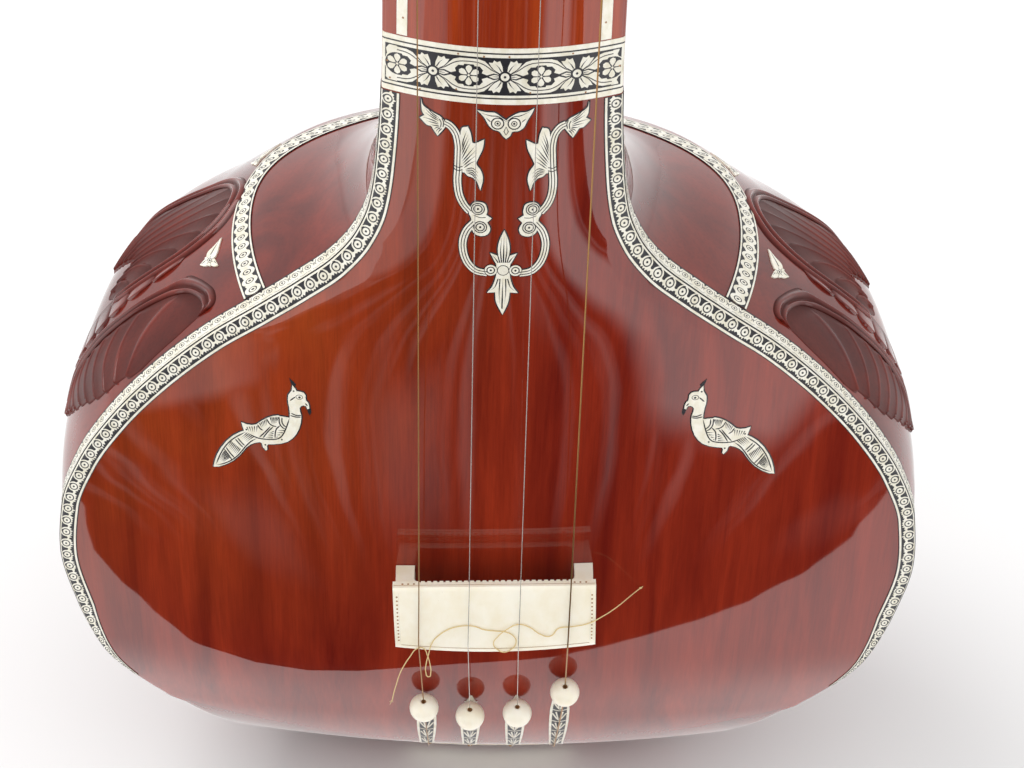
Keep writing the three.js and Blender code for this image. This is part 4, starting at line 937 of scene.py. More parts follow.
class TANPURA_OT_stage(bpy.types.Operator):
    """Sets camera, even sky, soft lamp, pale floor, and the glowing card of painted reflections that the
    glossy face reflects
    """

    bl_idname = "tanpura.stage"
    bl_label = "Stage"

    def execute(self, context):
        studio = context.scene.tanpura_studio
        add_camera(studio)
        world = bpy.data.worlds.new("even_sky")
        context.scene.world = world
        tree = empty_tree(world)
        # The sky keeps a strength of 1 for rays that see it: from the camera, off gloss, or through glass
        rays = add_node(tree, "LightPath").outputs
        seen = rays["Is Camera Ray"]
        for ray in ("Is Glossy Ray", "Is Transmission Ray"):
            seen = add_node(tree, "Math", {0: seen, 1: rays[ray]}, operation="MAXIMUM")
        strength = add_node(tree, "Mix", {0: seen, 2: studio.sky, 3: 1.0})
        sky = add_node(tree, "Background", {"Color": (1, 1, 1, 1), "Strength": strength})
        add_node(tree, "OutputWorld", {"Surface": sky})

        lamp_data = bpy.data.lights.new("soft_lamp", "AREA")
        lamp_data.energy, lamp_data.size, lamp_data.color = studio.lamp, LAMP_WIDTH, (1.0, 0.99, 0.98)
        lamp = bpy.data.objects.new("soft_lamp", lamp_data)
        lamp.location = LAMP_PLACE
        lamp.rotation_euler = (Vector(LAMP_AIM) - lamp.location).to_track_quat("-Z", "Y").to_euler()
        context.scene.collection.objects.link(lamp)

        corners = [(x * FLOOR_HALF, y * FLOOR_HALF, 0) for x, y in ((-1, -1), (1, -1), (1, 1), (-1, 1))]
        stage_plane("floor", corners, paper_floor(studio))
        # The card lies in front of the instrument, out of the picture: only gloss sees it, so its glow is
        # painted reflection and lights nothing
        corners = [(x * MM, y * MM, CARD_HEIGHT) for x, y in CARD_EDGE]
        card = stage_plane("reflection_card", corners, reflection_card())
        for ray in ("camera", "diffuse", "shadow", "transmission"):
            setattr(card, f"visible_{ray}", False)
        return {"FINISHED"}


def edge_drop(distance, radius):
    """How far a rounded edge lies under its face at a distance from its side."""
    inside_edge = np.clip(radius - distance, 0, radius)
    return radius - np.sqrt(radius * radius - inside_edge * inside_edge)


def crowned_board(shape, low_at, high_at, rows, radius, under):
    """A crowned board over the front, its side edges rounded and turned down by its thickness."""
    count = 100
    share = np.linspace(-1, 1, count + 1)
    v = np.linspace(0, 1, rows + 1)[:, None]
    z = mix(low_at(share), high_at(share), v)
    half = rim_half(z)
    bent = np.sign(share) * (1 - (1 - np.abs(share)) ** 1.35)
    x = bent * half
    lift = -edge_drop(half - np.abs(x), radius) if radius else 0 * x
    top = on_face(x, z, lift)
    left, right = top[:, :1].copy(), top[:, -1:].copy()
    left[..., 1] = right[..., 1] = (rim_y(z[:, :1]) + under)
    grid = np.concatenate([left, top, right], 1)
    shape.sheet(grid, 0, False, grid + np.array([0, -1.0, 0]))


def gourd_grid(rows, back_count, side_count, chin_count):
    """Outer skin of the gourd, from its base flat up to its rim, as rows of points round the body."""
    half_turn, low = math.pi, float(chin_edge(1)) - 4.0
    turn, height, foot = [], [], []
    for i in range(back_count):
        s = i / back_count
        turn.append(half_turn * s)
        height.append(float(shoulder_line(half_turn * s)))
        foot.append(half_turn * mix(0.12, 0.88, s))
    for i in range(side_count):
        s = i / side_count
        turn.append(half_turn)
        height.append(mix(SHOULDER_Z, low, s))
        foot.append(half_turn * mix(0.88, 1, s))
    for i in range(chin_count):
        u = -1 + 2 * i / chin_count
        turn.append(2 * half_turn - math.acos(u))
        height.append(float(chin_edge(u)) - 0.05)
        foot.append(half_turn * mix(1, 2, i / chin_count))
    for i in range(side_count):
        s = i / side_count
        turn.append(2 * half_turn)
        height.append(mix(low, SHOULDER_Z, s))
        foot.append(half_turn * mix(2, 2.12, s))
    turn, height, foot = np.array(turn), np.array(height), np.array(foot)
    v = np.linspace(0, 1, rows + 1)[:, None]
    z = height * mix(v, (1 - np.cos(math.pi * v)) / 2, 0.65)
    way = mix(foot, turn, np.sqrt(v))
    way = np.where(way > 2 * math.pi, way - 2 * math.pi, way)
    u = np.cos(way)
    ease = np.minimum(1, np.abs(np.sin(way)) * 4)
    chin = points_of(u * rim_half(z), rim_y(z) - FACE_THICKNESS * ease - FACE_CROWN * (1 - u * u), z)
    on_chin = ((way > math.pi) & (way < 2 * math.pi))[..., None]
    return np.where(on_chin, chin, back_point(way, z))


class TANPURA_OT_body(bpy.types.Operator):
    """Builds the gourd, the shoulder block and the wooden face as fine smooth skins"""

    bl_idname = "tanpura.body"
    bl_label = "Gourd, shoulder and face"

    def execute(self, context):
        group = context.scene.tanpura_sizes
        rows, radius = group.mesh_rows, group.edge_radius / MM
        gourd = Shape()
        grid = gourd_grid(rows, 150, 60, 140)
        lip = grid[-1:] * np.array([0.93, 0.9, 1]) + np.array([0, 3.0, 0])
        whole = np.concatenate([np.zeros_like(grid[:1]), grid, lip])
        gourd.sheet(whole, 0, True, whole * 1.2)
        make("gourd_skin", gourd, "gourd", slot="lacquered_shell", stands_for="gourd_shell", sharp=50)

        shoulder = Shape()
        turn = np.linspace(0, math.pi, 161)
        v = np.linspace(0, 1, 81)[:, None]
        z = mix(shoulder_line(turn), JOINT, v ** 1.4)
        grid = back_point(turn + 0 * z, z)
        shoulder.sheet(grid, 0, False, grid + back_normal(turn + 0 * z, z))
        make("shoulder_skin", shoulder, "gourd", slot="lacquered_shell", stands_for="shoulder_block",
             sharp=50)

        face = Shape()
        crowned_board(face, chin_edge, lambda u: JOINT + 0 * u, rows, radius, 0.0)
        make("face_board", face, "face", slot="face_wood", stands_for="soundboard")
        tail_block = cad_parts["tail_block"]
        tail_block.data.materials.clear()
        tail_block.data.materials.append(FINISHES["raw"])
        return {"FINISHED"}


def neck_ring(z, margin=0.0, radius=2.0):
    """The outline of neck and head at a height, its front edges rounded."""
    half = float(rim_half(z))
    share = 1 - margin / half
    turn = np.linspace(0, math.pi, 60, endpoint=False)
    back = points_of(half * share * np.cos(turn), rim_y(z) + (back_depth(z) - margin) * np.sin(turn), z)
    u = np.linspace(-1, 1, 61)
    x = u * half
    front = on_face(x, z + 0 * x, -edge_drop(half - np.abs(x), radius))
    front[:, 0] *= share
    front[:, 1] += margin
    return np.concatenate([back, front])


def peg_seat(index):
    """Where a peg leaves the head, and which way its knob lies."""
    sign = STRING_SIGNS[index]
    if index in (0, 3):
        z = HEAD + SIDE_PEG_UP
        x = sign * float(rim_half(z)) * math.sqrt(1 - (SIDE_PEG_BACK / float(back_depth(z))) ** 2)
        return np.array([x, float(rim_y(z)) + SIDE_PEG_BACK, z]), np.array([sign, 0.0, 0.0])
    return on_face(sign * FRONT_PEG_X, HEAD + FRONT_PEG_UP), np.array([0.0, -1.0, 0.0])


class TANPURA_OT_neck(bpy.types.Operator):
    """Builds the neck, its front, and the head with its four peg holes and bone end"""

    bl_idname = "tanpura.neck"
    bl_label = "Neck and head"

    def execute(self, context):
        neck = Shape()
        turn = np.linspace(0, math.pi, 97)
        z = np.linspace(JOINT, HEAD - 0.2, 90)[:, None]
        grid = back_point(turn + 0 * z, z + 0 * turn)
        neck.sheet(grid, 0, False, grid + back_normal(turn + 0 * z, z + 0 * turn))
        make("neck_back", neck, "neck", slot="neck_wood", stands_for="neck_shell")
        front = Shape()
        crowned_board(front, lambda u: JOINT + 0 * u, lambda u: HEAD - 0.2 + 0 * u, 90, 2.0, 0.0)
        make("neck_front", front, "neck", slot="neck_wood", stands_for="neck_face_plate")

        head = Shape()
        heights = [HEAD, HEAD + 0.5, *np.linspace(HEAD + 4, TOP - 4, 24), TOP - 0.5, TOP]
        head.closed(np.array([neck_ring(h, 0.5 if h in (HEAD, TOP) else 0.0) for h in heights]))
        block = make("peg_head", head, "neck", slot="neck_wood", stands_for="head_block")
        for index in range(4):
            at, out = peg_seat(index)
            drill = Shape()
            hole = PEG_SHAFT + CLEARANCE
            drill.turned([(hole, -PEG_LENGTH_IN - CLEARANCE), (hole, 12)], at, out, 40)
            bit = make(f"drill_{index}", drill, "neck")
            cut = block.modifiers.new("peg_hole", "BOOLEAN")
            cut.operation, cut.solver, cut.object = "DIFFERENCE", "EXACT", bit
            context.view_layer.objects.active = block
            bpy.ops.object.modifier_apply(modifier=cut.name)
            bpy.data.objects.remove(bit)
        block.data.set_sharp_from_angle(angle=math.radians(40))

        cap = Shape()
        rows = [(0.1, 0.4), (0.8, 0.0), (4.0, 0.0), (5.5, 0.8), (7.6, 2.6), (9, 5.0)]
        cap.closed(np.array([neck_ring(TOP, inset) * [1, 1, 0] + [0, 0, TOP + z] for z, inset in rows]))
        make("bone_end", cap, "bone", slot="bone", stands_for="head_cap", sharp=60)
        return {"FINISHED"}


def bridge_place(x, y, up):
    """From the bridge's own frame to the instrument's: turned a little in the plane of the face."""
    cos, sin = math.cos(BRIDGE_TURN), math.sin(BRIDGE_TURN)
    return points_of(BRIDGE_SHIFT + x * cos - up * sin, y, BRIDGE_Z + x * sin + up * cos)


def bridge_top(x, up, lift):
    return bridge_place(x, plate_top(up) - lift, up)


def on_plate_end(x, y, lift):
    """On the upper end wall of the bridge plate."""
    return bridge_place(x, y, BRIDGE_DEPTH / 2 + lift)


def plate_front(x):
    """The lower edge of the plate, bowed out in its middle."""
    return -BRIDGE_DEPTH / 2 - BRIDGE_BOW * (1 - (x / (BRIDGE_WIDTH / 2)) ** 2)


def plate_skin(plate):
    """The bone plate: a crowned top with rubbed edges and a comb of notches along its upper end."""
    half, deep = BRIDGE_WIDTH / 2, BRIDGE_DEPTH / 2
    x = np.linspace(-half, half, 331)
    notch = np.where((np.abs(x) < COMB_HALF) & (np.mod(x + 0.7, COMB_PITCH) < COMB_GAP), COMB_DEEP, 0.0)
    low = plate_front(x)
    up = mix(low, deep, np.linspace(0, 1, 34)[:, None])
    side = np.minimum.reduce([up - low, deep - up, half - np.abs(x) + 0 * up])
    top = bridge_place(x + 0 * up, plate_top(up) + edge_drop(side, PLATE_EDGE), up)
    wall_low, wall_high = bridge_place(x, PLATE_UNDER, low), bridge_place(x, PLATE_UNDER, deep - notch)
    comb = [bridge_place(x, COMB_Y + 0 * x, deep + 0 * x), bridge_place(x, COMB_Y + 0 * x, deep - notch)]
    grid = np.concatenate([wall_low[None], top, comb, wall_high[None]])
    left, right = grid[:, :1].copy(), grid[:, -1:].copy()
    left[..., 1] = right[..., 1] = PLATE_UNDER
    grid = np.concatenate([left, grid, right], 1)
    plate.sheet(grid, 0, False, grid + [0, -1.0, 0])
    base = np.stack([wall_low, wall_high])
    plate.sheet(base, 0, False, base + [0, 1.0, 0])


def plate_marks(plate):
    """Step line, edge lines and dots on the plate, brown in the bone; the brown step line is painted shadow
    where the plate's lower lip steps down.
    """
    half = BRIDGE_WIDTH / 2
    # A brown line with a bone line just above it: the brown one is painted shadow of a step that the plate
    # itself does not have
    for offset, tone in ((2.5, 1), (2.9, 0)):
        step = [(a, plate_front(a) + offset) for a in np.linspace(-43.3, 43.3, 30)]
        plate.line(step, 0.26, bridge_top, 0.04, tone)
    for end in (-1, 1):
        for across in (1.0, 2.6):
            x = end * (half - across)
            plate.line([(x, -14), (x, 15.2)], 0.2, bridge_top, 0.02, 2)
        for k in range(13):
            plate.disc(end * (half - 1.8), -12.6 + 2.15 * k, 0.42, bridge_top, 0.05, 1, sides=10)
        for k in range(3):
            plate.disc(end * (36.5 + 2.6 * k), COMB_Y - 0.5, 0.5, on_plate_end, 0.05, 1, sides=10)
    plate.line([(-half + 0.4, COMB_Y - 1.4), (half - 0.4, COMB_Y - 1.4)], 0.22, on_plate_end, 0.03, 1)


def bridge_feet():
    """The two feet under the plate and the web between them, with rounded inner corners."""
    wide, top, web = BRIDGE_WIDTH / 2 - 1.1, PLATE_UNDER + CLEARANCE, PLATE_UNDER + 4.3
    inner = wide - 8.3

    def foot(a):
        return float(on_face(BRIDGE_SHIFT + a, BRIDGE_Z)[1]) - CLEARANCE

    arch = (foot(inner) - web) * 0.25
    corner = [(inner - arch * (1 - math.sin(t)), web + arch * (1 - math.cos(t)))
              for t in np.linspace(math.pi / 2, 0, 9)]
    outline = np.array([
        (-wide, top), (wide, top), (wide + 0.4, foot(wide)), (inner, foot(inner)), *corner,
        *[(-a, b) for a, b in reversed(corner)], (-inner, foot(-inner)), (-wide - 0.4, foot(-wide)),
    ])
    base = Shape()
    ends = (-FEET_HALF, FEET_HALF)
    ups = (ends[0], -FEET_HALF + 0.4, -6, 0, 6, FEET_HALF - 0.4, ends[1])
    shares = [0.995 if up in ends else 1.0 for up in ups]
    rings = [bridge_place(outline[:, 0] * share, outline[:, 1], up) for share, up in zip(shares, ups)]
    base.sheet(np.array(rings), 0, True)
    spots, faces = filled(outline)
    for up, way in zip(ends, (-1, 1)):
        points = bridge_place(spots[:, 0], spots[:, 1], up)
        base.add(points, faces, 0, points + [0, 0, way])
    return base


class TANPURA_OT_bridge(bpy.types.Operator):
    """Builds the bone bridge: feet and web, and the plate with its notched edge, step line and dots"""

    bl_idname = "tanpura.bridge"
    bl_label = "Bridge"

    def execute(self, context):
        plate = Shape()
        plate_skin(plate)
        plate_marks(plate)
        make("bridge_top_plate", plate, "bone brown inlay", slot="bone", stands_for="bridge_plate", sharp=35)
        make("bridge_feet", bridge_feet(), "bone", slot="bone", stands_for="bridge_base", sharp=30)
        return {"FINISHED"}


def nut_point(index):
    x = -2 + spread_x(index) * 1.08
    u = x / (float(rim_half(NUT_Z)) - 2)
    crest = float(on_face(0, NUT_Z)[1]) - NUT_HEIGHT * (1 - BAR_CROWN * u * u)
    return np.array([x, crest - CLEARANCE - STRING_DIAMETERS[index] / 2, NUT_Z])


def guide_point(index):
    return nut_point(index) + [0, NUT_HEIGHT * 0.25, GUIDE_Z - NUT_Z]


def over_plate(index, up):
    y = float(plate_top(0)) - STRING_LIFT - STRING_DIAMETERS[index] / 2
    return np.array([string_x(index), y, BRIDGE_Z + up])


TOUCH = 2 * PLATE_DROP - BRIDGE_DEPTH / 2


def bead_center(index):
    x, z = bead_x(index), BEAD_HEIGHTS[index]
    slope = float(on_face(x, z + STEP)[1] - on_face(x, z - STEP)[1]) / (2 * STEP)
    clear = BEAD_RADIUS + CLEARANCE + GUARD_LIFT
    return np.array([x, float(on_face(x, z)[1]) - clear * math.sqrt(1 + slope * slope), z])


def winding_radius(index):
    return PEG_SHAFT + CLEARANCE + STRING_DIAMETERS[index] / 2


def head_route(index):
    """A string from its peg round the edge of the head to the guide."""
    radius, sign = STRING_DIAMETERS[index] / 2, STRING_SIGNS[index]
    at, out = peg_seat(index)
    seat = at + out * (WINDING_START + 1.5 * WINDING_PITCH)
    swept = winding_radius(index) + 2 * radius + CLEARANCE
    if index in (1, 2):
        return [seat - [0, 0, swept]]
    edge_z = mix(GUIDE_Z, seat[2], 0.45)
    edge_x = sign * (float(rim_half(edge_z)) + CLEARANCE + radius + 0.6)
    edge = np.array([edge_x, float(rim_y(edge_z)) - FACE_THICKNESS - 0.6, edge_z])
    over = on_face(edge_x - sign * 6.5, mix(GUIDE_Z, edge_z, 0.75), CLEARANCE + radius + STRING_LIFT)
    return [np.array([seat[0], seat[1] - swept, seat[2] - PEG_SHAFT / 2]), edge, over]


def string_route(index):
    guide, radius, low_x = guide_point(index), STRING_DIAMETERS[index] / 2, tail_x(index)
    bead, last = bead_center(index), over_plate(index, TOUCH)
    along = unit(bead - last)
    over_guard, over_tail = GUARD_LIFT + CLEARANCE + radius + STRING_LIFT, TAIL_PROUD + radius
    guard_x, guard_z = (bead_x(index) + low_x) / 2, mix(GUARD_LOW, GUARD_TOPS[index], 0.5)
    return [
        *head_route(index),
        guide + [0, 0, 4.1], guide - [0, 0, 4.1], nut_point(index), over_plate(index, -TOUCH), last,
        bead + along * (BEAD_RADIUS + CLEARANCE),
        on_face(guard_x, guard_z, over_guard), on_face(low_x, GUARD_LOW + 4.8, over_guard),
        *(on_face(low_x, z, over_tail) for z in (21.0, 14.0, 8.0)),
    ]


def cross_bar(z, height, thickness):
    """A bone bar across the crowned front, its top crowned and its edges rubbed round."""
    half = float(rim_half(z)) - 2
    crest = float(on_face(0, z)[1]) - height
    u = np.linspace(-1, 1, 81)
    x, top = u * half, crest + BAR_CROWN * height * u * u
    foot = on_face(x, z + 0 * x, CLEARANCE)[:, 1]
    rows = [(0.5, foot), (0.5, top + 0.9), (0.36, top + 0.25), (0.15, top)]
    rows = [(-share, y) for share, y in rows] + rows[::-1]
    return np.array([points_of(x, y, z + share * thickness) for share, y in rows])


def wire(index):
    """One string, with close points beside each bend so that it turns sharply."""
    route = np.array(string_route(index))
    dense = [route[0]]
    for a, b in zip(route[:-1], route[1:]):
        dense += [a + (b - a) * t for t in (0.04, 0.5, 0.96)] + [b]
    string = Shape()
    string.tube(np.array(dense), STRING_DIAMETERS[index] / 2, 8)
    return string


def wire_turns(index):
    """The string's three turns round its peg."""
    at, out = peg_seat(index)
    side, other = round_axes(out)
    turn = np.linspace(0, 6 * math.pi, 130)[:, None]
    coil = at + out * (WINDING_START + WINDING_PITCH * turn / (2 * math.pi))
    coil = coil + winding_radius(index) * (np.cos(turn) * side + np.sin(turn) * other)
    winding = Shape()
    winding.tube(coil, STRING_DIAMETERS[index] / 2, 7)
    return winding


def bone_bar(z, height, thickness):
    """A cross bar with its two ends closed."""
    bar = Shape()
    grid = cross_bar(z, height, thickness)
    bar.sheet(grid, 0, False, grid + [0, -1.0, 0])
    for k, way in ((0, -1), (-1, 1)):
        end = grid[:, k]
        points = np.vstack([end, end.mean(0)])
        fan = [(i, (i + 1) % len(end), len(end)) for i in range(len(end))]
        bar.add(points, fan, 0, points + [way, 0, 0])
    return bar


def tail_bar():
    """The low bone bar under the chin that holds the strings, with a bronze pin for each."""
    tail = Shape()
    x = BEAD_SHIFT + np.linspace(-TAIL_HALF, TAIL_HALF, 61)
    rows = [(5.0, 0.3), (5.0, 0.7), (5.5, 1.1), (9.5, TAIL_PROUD), (13.5, 1.1), (14.0, 0.7), (14.0, 0.3)]
    ease = edge_drop(TAIL_HALF - np.abs(x - BEAD_SHIFT), 2.5)
    grid = np.array([on_face(x, z + 0 * x, np.maximum(CLEARANCE, lift - ease)) for z, lift in rows])
    tail.sheet(grid, 0, False, grid + [0, -1.0, 0])
    for index in range(4):
        pin = on_face(tail_x(index), 7.0, 1.1)
        tail.turned([(0.1, 0), (1.3, 0.05), (1.2, 0.2), (0.7, 0.3), (0.05, 0.32)], pin, (0, -1, 0), 18, 1)
    return tail


class TANPURA_OT_strings(bpy.types.Operator):
    """Stretches the four strings, winds them on their pegs, and sets nut, guide and tailpiece"""

    bl_idname = "tanpura.strings"
    bl_label = "Strings, nut and tailpiece"

    def execute(self, context):
        for index, metal_name in enumerate(("bronze", "steel", "steel", "bronze")):
            slot, number = f"{metal_name}_string", index + 1
            make(f"wire_{number}", wire(index), metal_name, slot=slot, stands_for=f"string_{number}")
            make(f"wire_turns_{number}", wire_turns(index), metal_name, f"peg_{number}", slot,
                 f"string_winding_{number}")
        nut = bone_bar(NUT_Z, NUT_HEIGHT, 6)
        make("nut_bar", nut, "bone wax", slot="bone", stands_for="string_nut")
        guide = bone_bar(GUIDE_Z, GUIDE_HEIGHT, 7)
        # Each string runs through the solid bar; a black wax disc on each face stands for its hole, painted
        # shade for the dark inside it
        for index in range(4):
            for way in (-1, 1):
                guide.turned([(1.5, way * 3.52), (1.5, way * 3.56)], guide_point(index), (0, 0, 1), 18, 1)
        make("guide_bar", guide, "bone wax", slot="bone", stands_for="string_guide")
        make("tail_bar", tail_bar(), "bone bronze", slot="bone", stands_for="tailpiece")
        return {"FINISHED"}


class TANPURA_OT_beads(bpy.types.Operator):
    """Turns the four bone tuning beads with their countersunk holes"""

    bl_idname = "tanpura.beads"
    bl_label = "Tuning beads"

    def execute(self, context):
        # At each end a countersink, 1.6 mm in radius at its mouth, leads to a shallow blind hole; its walls
        # and floor take the brown finish, painted shade for the dark of the hole
        mouth = math.asin(2 / BEAD_RADIUS)
        face = BEAD_RADIUS * math.cos(mouth)
        turns = np.linspace(mouth * 0.8, math.pi - mouth * 0.8, 40)
        arc = [(BEAD_RADIUS * math.sin(t), -BEAD_RADIUS * math.cos(t)) for t in turns]
        cone = [(0.1, face - 1.6), (0.85, face - 1.6), (1.1, face - 0.5)]
        profile = [(radius, -place) for radius, place in cone] + arc + cone[::-1]
        around, last = 56, len(profile) - 2
        for index in range(4):
            at = bead_center(index)
            bead = Shape()
            bead.turned(profile, at, unit(over_plate(index, TOUCH) - at), around)
            # Countersink faces and end caps get the brown finish: painted shade for the dark of the hole
            bead.finishes = [int(i // around in (0, 1, last - 1, last) or i // around > last)
                             for i in range(len(bead.faces))]
            make(f"bone_bead_{index + 1}", bead, "bone brown", f"bead_{index + 1}", "bone",
                 f"tuning_bead_{index + 1}", sharp=60)
        return {"FINISHED"}


# Profiles of a peg: radius and distance from where the peg leaves the head
PEG_STEM = [(0.5, -PEG_LENGTH_IN), (4.9, -PEG_LENGTH_IN), (5.5, -33.4), (5.5, 19), (5.9, 19.6), (8.0, 20.2),
            (8.5, 21), (8.5, 23), (8.0, 23.6), (6.4, 24), (6.6, 25)]
PEG_RING = [(7.2, 19.9), (8.0, 20.0), (8.62, 20.7), (8.62, 21.4), (8.2, 21.6)]
PEG_STUD = [(4.0, 59.8), (4.4, 61), (4.3, 63), (3.4, 65), (1.6, 65.9), (0.1, 66)]
PEG_FLUTES = 12


def knob_radius(t):
    """Radius of the knob at a share of its length: fullest near its foot, drawn in towards its end."""
    return 10.4 + 4.1 * math.sin(math.pi * min(1, t * 0.9 + 0.12)) ** 0.8 * (1 - 0.1 * t)


def turned_peg(index):
    """A peg with its stem, fluted knob, bone ring and bone stud."""
    at, out = peg_seat(index)
    side, other = round_axes(out)
    peg = Shape()
    peg.turned(PEG_STEM, at, out, 56)
    turn = circle(144)[:, None]
    knob = [(knob_radius(t), 25 + 33 * t) for t in np.linspace(0, 1, 26)]
    knob = [(6.6, 24.6), *knob, (8.0, 59.4), (4.4, 60)]
    rings = []
    for radius, place in knob:
        flute = 1 - 0.045 * (1 - np.cos(PEG_FLUTES * turn)) * min(1, max(0, (radius - 8) / 3))
        rings.append(at + out * place + radius * flute * (np.cos(turn) * side + np.sin(turn) * other))
    peg.closed(np.array(rings))
    peg.turned(PEG_RING, at, out, 56, 1)
    peg.turned(PEG_STUD, at, out, 40, 1)
    return peg


class TANPURA_OT_pegs(bpy.types.Operator):
    """Turns the four pegs: shaft, collar with bone ring, fluted knob and stud"""

    bl_idname = "tanpura.pegs"
    bl_label = "Pegs"

    def execute(self, context):
        for index in range(4):
            node = f"peg_{index + 1}"
            make(f"turned_{node}", turned_peg(index), "pegs bone", node, "peg_wood", node, sharp=45)
        return {"FINISHED"}


class Edge:
    """Distances along the edge of the face, from the joint band down to its lower end, on one side."""

    def __init__(self, side):
        self.side = side
        self.z = np.linspace(BAND_TOP, BAND_LOW, 900)
        self.along = run_length(on_face(rim_half(self.z) - 0.01, self.z))
        self.length = float(self.along[-1])

    def at(self, a, d, end_share):
        """Height, distance from the edge, and slope of the edge; the band narrows to its lower end."""
        z = np.interp(a, self.along, self.z)
        slope = (rim_half(z + STEP) - rim_half(z - STEP)) / (2 * STEP)
        return z, d * np.interp(z, (BAND_LOW, BAND_FULL), (end_share, 1.0)), slope

    def front(self, a, d, lift):
        """On the face, d in from its edge."""
        z, d, slope = self.at(a, d, 0.2)
        norm = np.sqrt(1 + slope * slope)
        x = self.side * (rim_half(z) - d / norm)
        return on_face(x, z + d * slope / norm, lift - edge_drop(d, FACE_EDGE))

    def flank(self, a, d, lift):
        """On the side, d back from the back edge of the wooden face; negative on the board's own edge."""
        z, d, slope = self.at(a, d, 0.35)
        turn = np.arcsin(np.clip(np.maximum(d, 0) / back_depth(z), 0, 1))
        turn = turn if self.side > 0 else math.pi - turn
        out = unit(points_of(self.side * np.ones_like(z), 0 * z, -slope * np.ones_like(z)))
        board = back_point(turn, z) + out * np.asarray(lift)[..., None]
        board = board + points_of(0 * z, np.minimum(d, 0), 0 * z)
        return np.where((d < 0)[..., None], board, on_back(turn, z, lift))


def eye(shape, a, b, place, lift, r, width, ry=None):
    """A ring of wax with a dot in its middle."""
    shape.ring(a, b, r, width, place, lift, 1, ry)
    shape.disc(a, b, 0.5, place, lift + 0.03, 1, sides=9)


def inlay(name, shape, node, finishes="inlay wax"):
    """Makes an inlaid piece."""
    make(name, shape, finishes, slot="inlay", stands_for=node, sharp=30)


def strip(shape, place, ends, edges, low, high, finish, pieces):
    """A long strip between two edges of a band, as one closed slab."""
    a = np.linspace(*ends, pieces)[:, None]
    across = np.linspace(*edges, max(2, int(np.ceil(abs(edges[1] - edges[0]) / 0.6)) + 1))
    b = np.concatenate([edges[:1], across, edges[1:]])[None, :]
    lift = np.array([low] + [high] * len(across) + [low])[None, :]
    grid = place(a + 0 * b, b + 0 * a, lift + 0 * a)
    shape.sheet(grid, finish, False, place(a + 0 * b, b + 0 * a, lift + 1 + 0 * a))


EYE_DEPTH = 2.95
# Teeth of the inner edge over one eye, from right to left
TEETH = [(3.5, 4.5), (2.9, 5.3), (2.3, 4.7), (1.6, 5.7), (1.1, 5.0), (0.4, 6.1), (-0.2, 5.1), (-0.9, 5.8),
         (-1.5, 4.9), (-2.2, 5.6), (-2.9, 4.7), (-3.5, 4.5)]
# Wave, chevron and edge line beside one eye of the flank band, each with its width
FLANK_LINES = [([(2.0, 3.6), (2.7, 2.3), (3.5, 1.5), (4.4, 2.2), (5.1, 3.5)], 0.32),
               ([(2.9, 0.7), (3.5, 2.5), (4.2, 0.7)], 0.3),
               ([(-1, -1.7), (1, -1.1), (3, -1.7), (5, -1.1)], 0.26)]


def eye_band(name, edge, count, low, high, width):
    """The band on the edge of the face: eyes under arches with ragged teeth, between two bone lines."""
    rng = random.Random(11 + edge.side)
    pitch, ends = edge.length / count, (0, edge.length)
    band = Shape()
    strip(band, edge.front, ends, (0.1, 7.9), low, high - 0.12, 1, 700)
    for edges in ((0.15, 0.62), (6.55, 7.5)):
        strip(band, edge.front, ends, edges, low, high + 0.02, 0, 700)
    turns = np.linspace(-0.1, math.pi + 0.1, 13)
    arch = [(-2.75 * math.cos(t), EYE_DEPTH - 2.5 * math.sin(t)) for t in turns]
    for k in range(count):
        a = (k + 0.5) * pitch
        teeth = [(x, d + rng.uniform(-0.35, 0.35) * (abs(x) < 3.4)) for x, d in TEETH]
        outline = [(-3.5, 3.75), (-2.95, 3.5), *arch, (2.95, 3.5), (3.5, 3.75), *teeth]
        band.plate([(a + x * pitch / 7.0, d) for x, d in outline], edge.front, low, high, 0, 4)
        eye(band, a, EYE_DEPTH, edge.front, high + 0.02, 1.75, width)
    inlay(f"eye_band_{name}", band, f"rim_band_front_{name}")


def flank_band(name, edge, count, low, high):
    """The band behind the eyes' band: small eyes with waves, chevrons and wedges between them."""
    pitch, ends = edge.length / count, (0, edge.length)
    band = Shape()
    strip(band, edge.flank, ends, (-3.3, 5.0), low, high - 0.1, 1, 600)
    for edges in ((-2.9, -0.02), (0.02, 4.2)):
        strip(band, edge.flank, ends, edges, low, high, 0, 600)
    for k in range(count):
        a = (k + 0.25) * pitch
        eye(band, a, 1.9, edge.flank, high, 1.45, 0.36, 1.2)
        for marks, width in FLANK_LINES[:2]:
            band.line([(a + x, d) for x, d in marks], width, edge.flank, high, 1)
        band.plate([(a + 2.6, 4.5), (a + 3.5, 3.1), (a + 4.4, 4.5)], edge.flank, low, high + 0.03, 1, 3)
        marks, width = FLANK_LINES[2]
        band.line([(a + x, d) for x, d in marks], width, edge.flank, high, 1)
    inlay(f"flank_band_{name}", band, f"rim_band_side_{name}")


def neck_strip(name, side, low, high):
    """The plain bone strip along the neck, with small brown nails."""
    shape = Shape()
    rng = random.Random(5)

    def on_neck(z, inset, lift):
        return on_face(side * (rim_half(z) - inset), z, lift)

    strip(shape, on_neck, (433.1, NUT_Z - 6), (6.0, 10.3), low, high, 0, 60)
    for z in np.arange(440, NUT_Z - 12, 16):
        along, inset = z + rng.uniform(-3, 3), 8 + rng.uniform(-1.2, 1.2)
        shape.disc(along, inset, 0.45, on_neck, high + 0.04, 1, sides=8)
    inlay(f"neck_strip_{name}", shape, f"neck_edge_strip_{name}", "inlay brown")


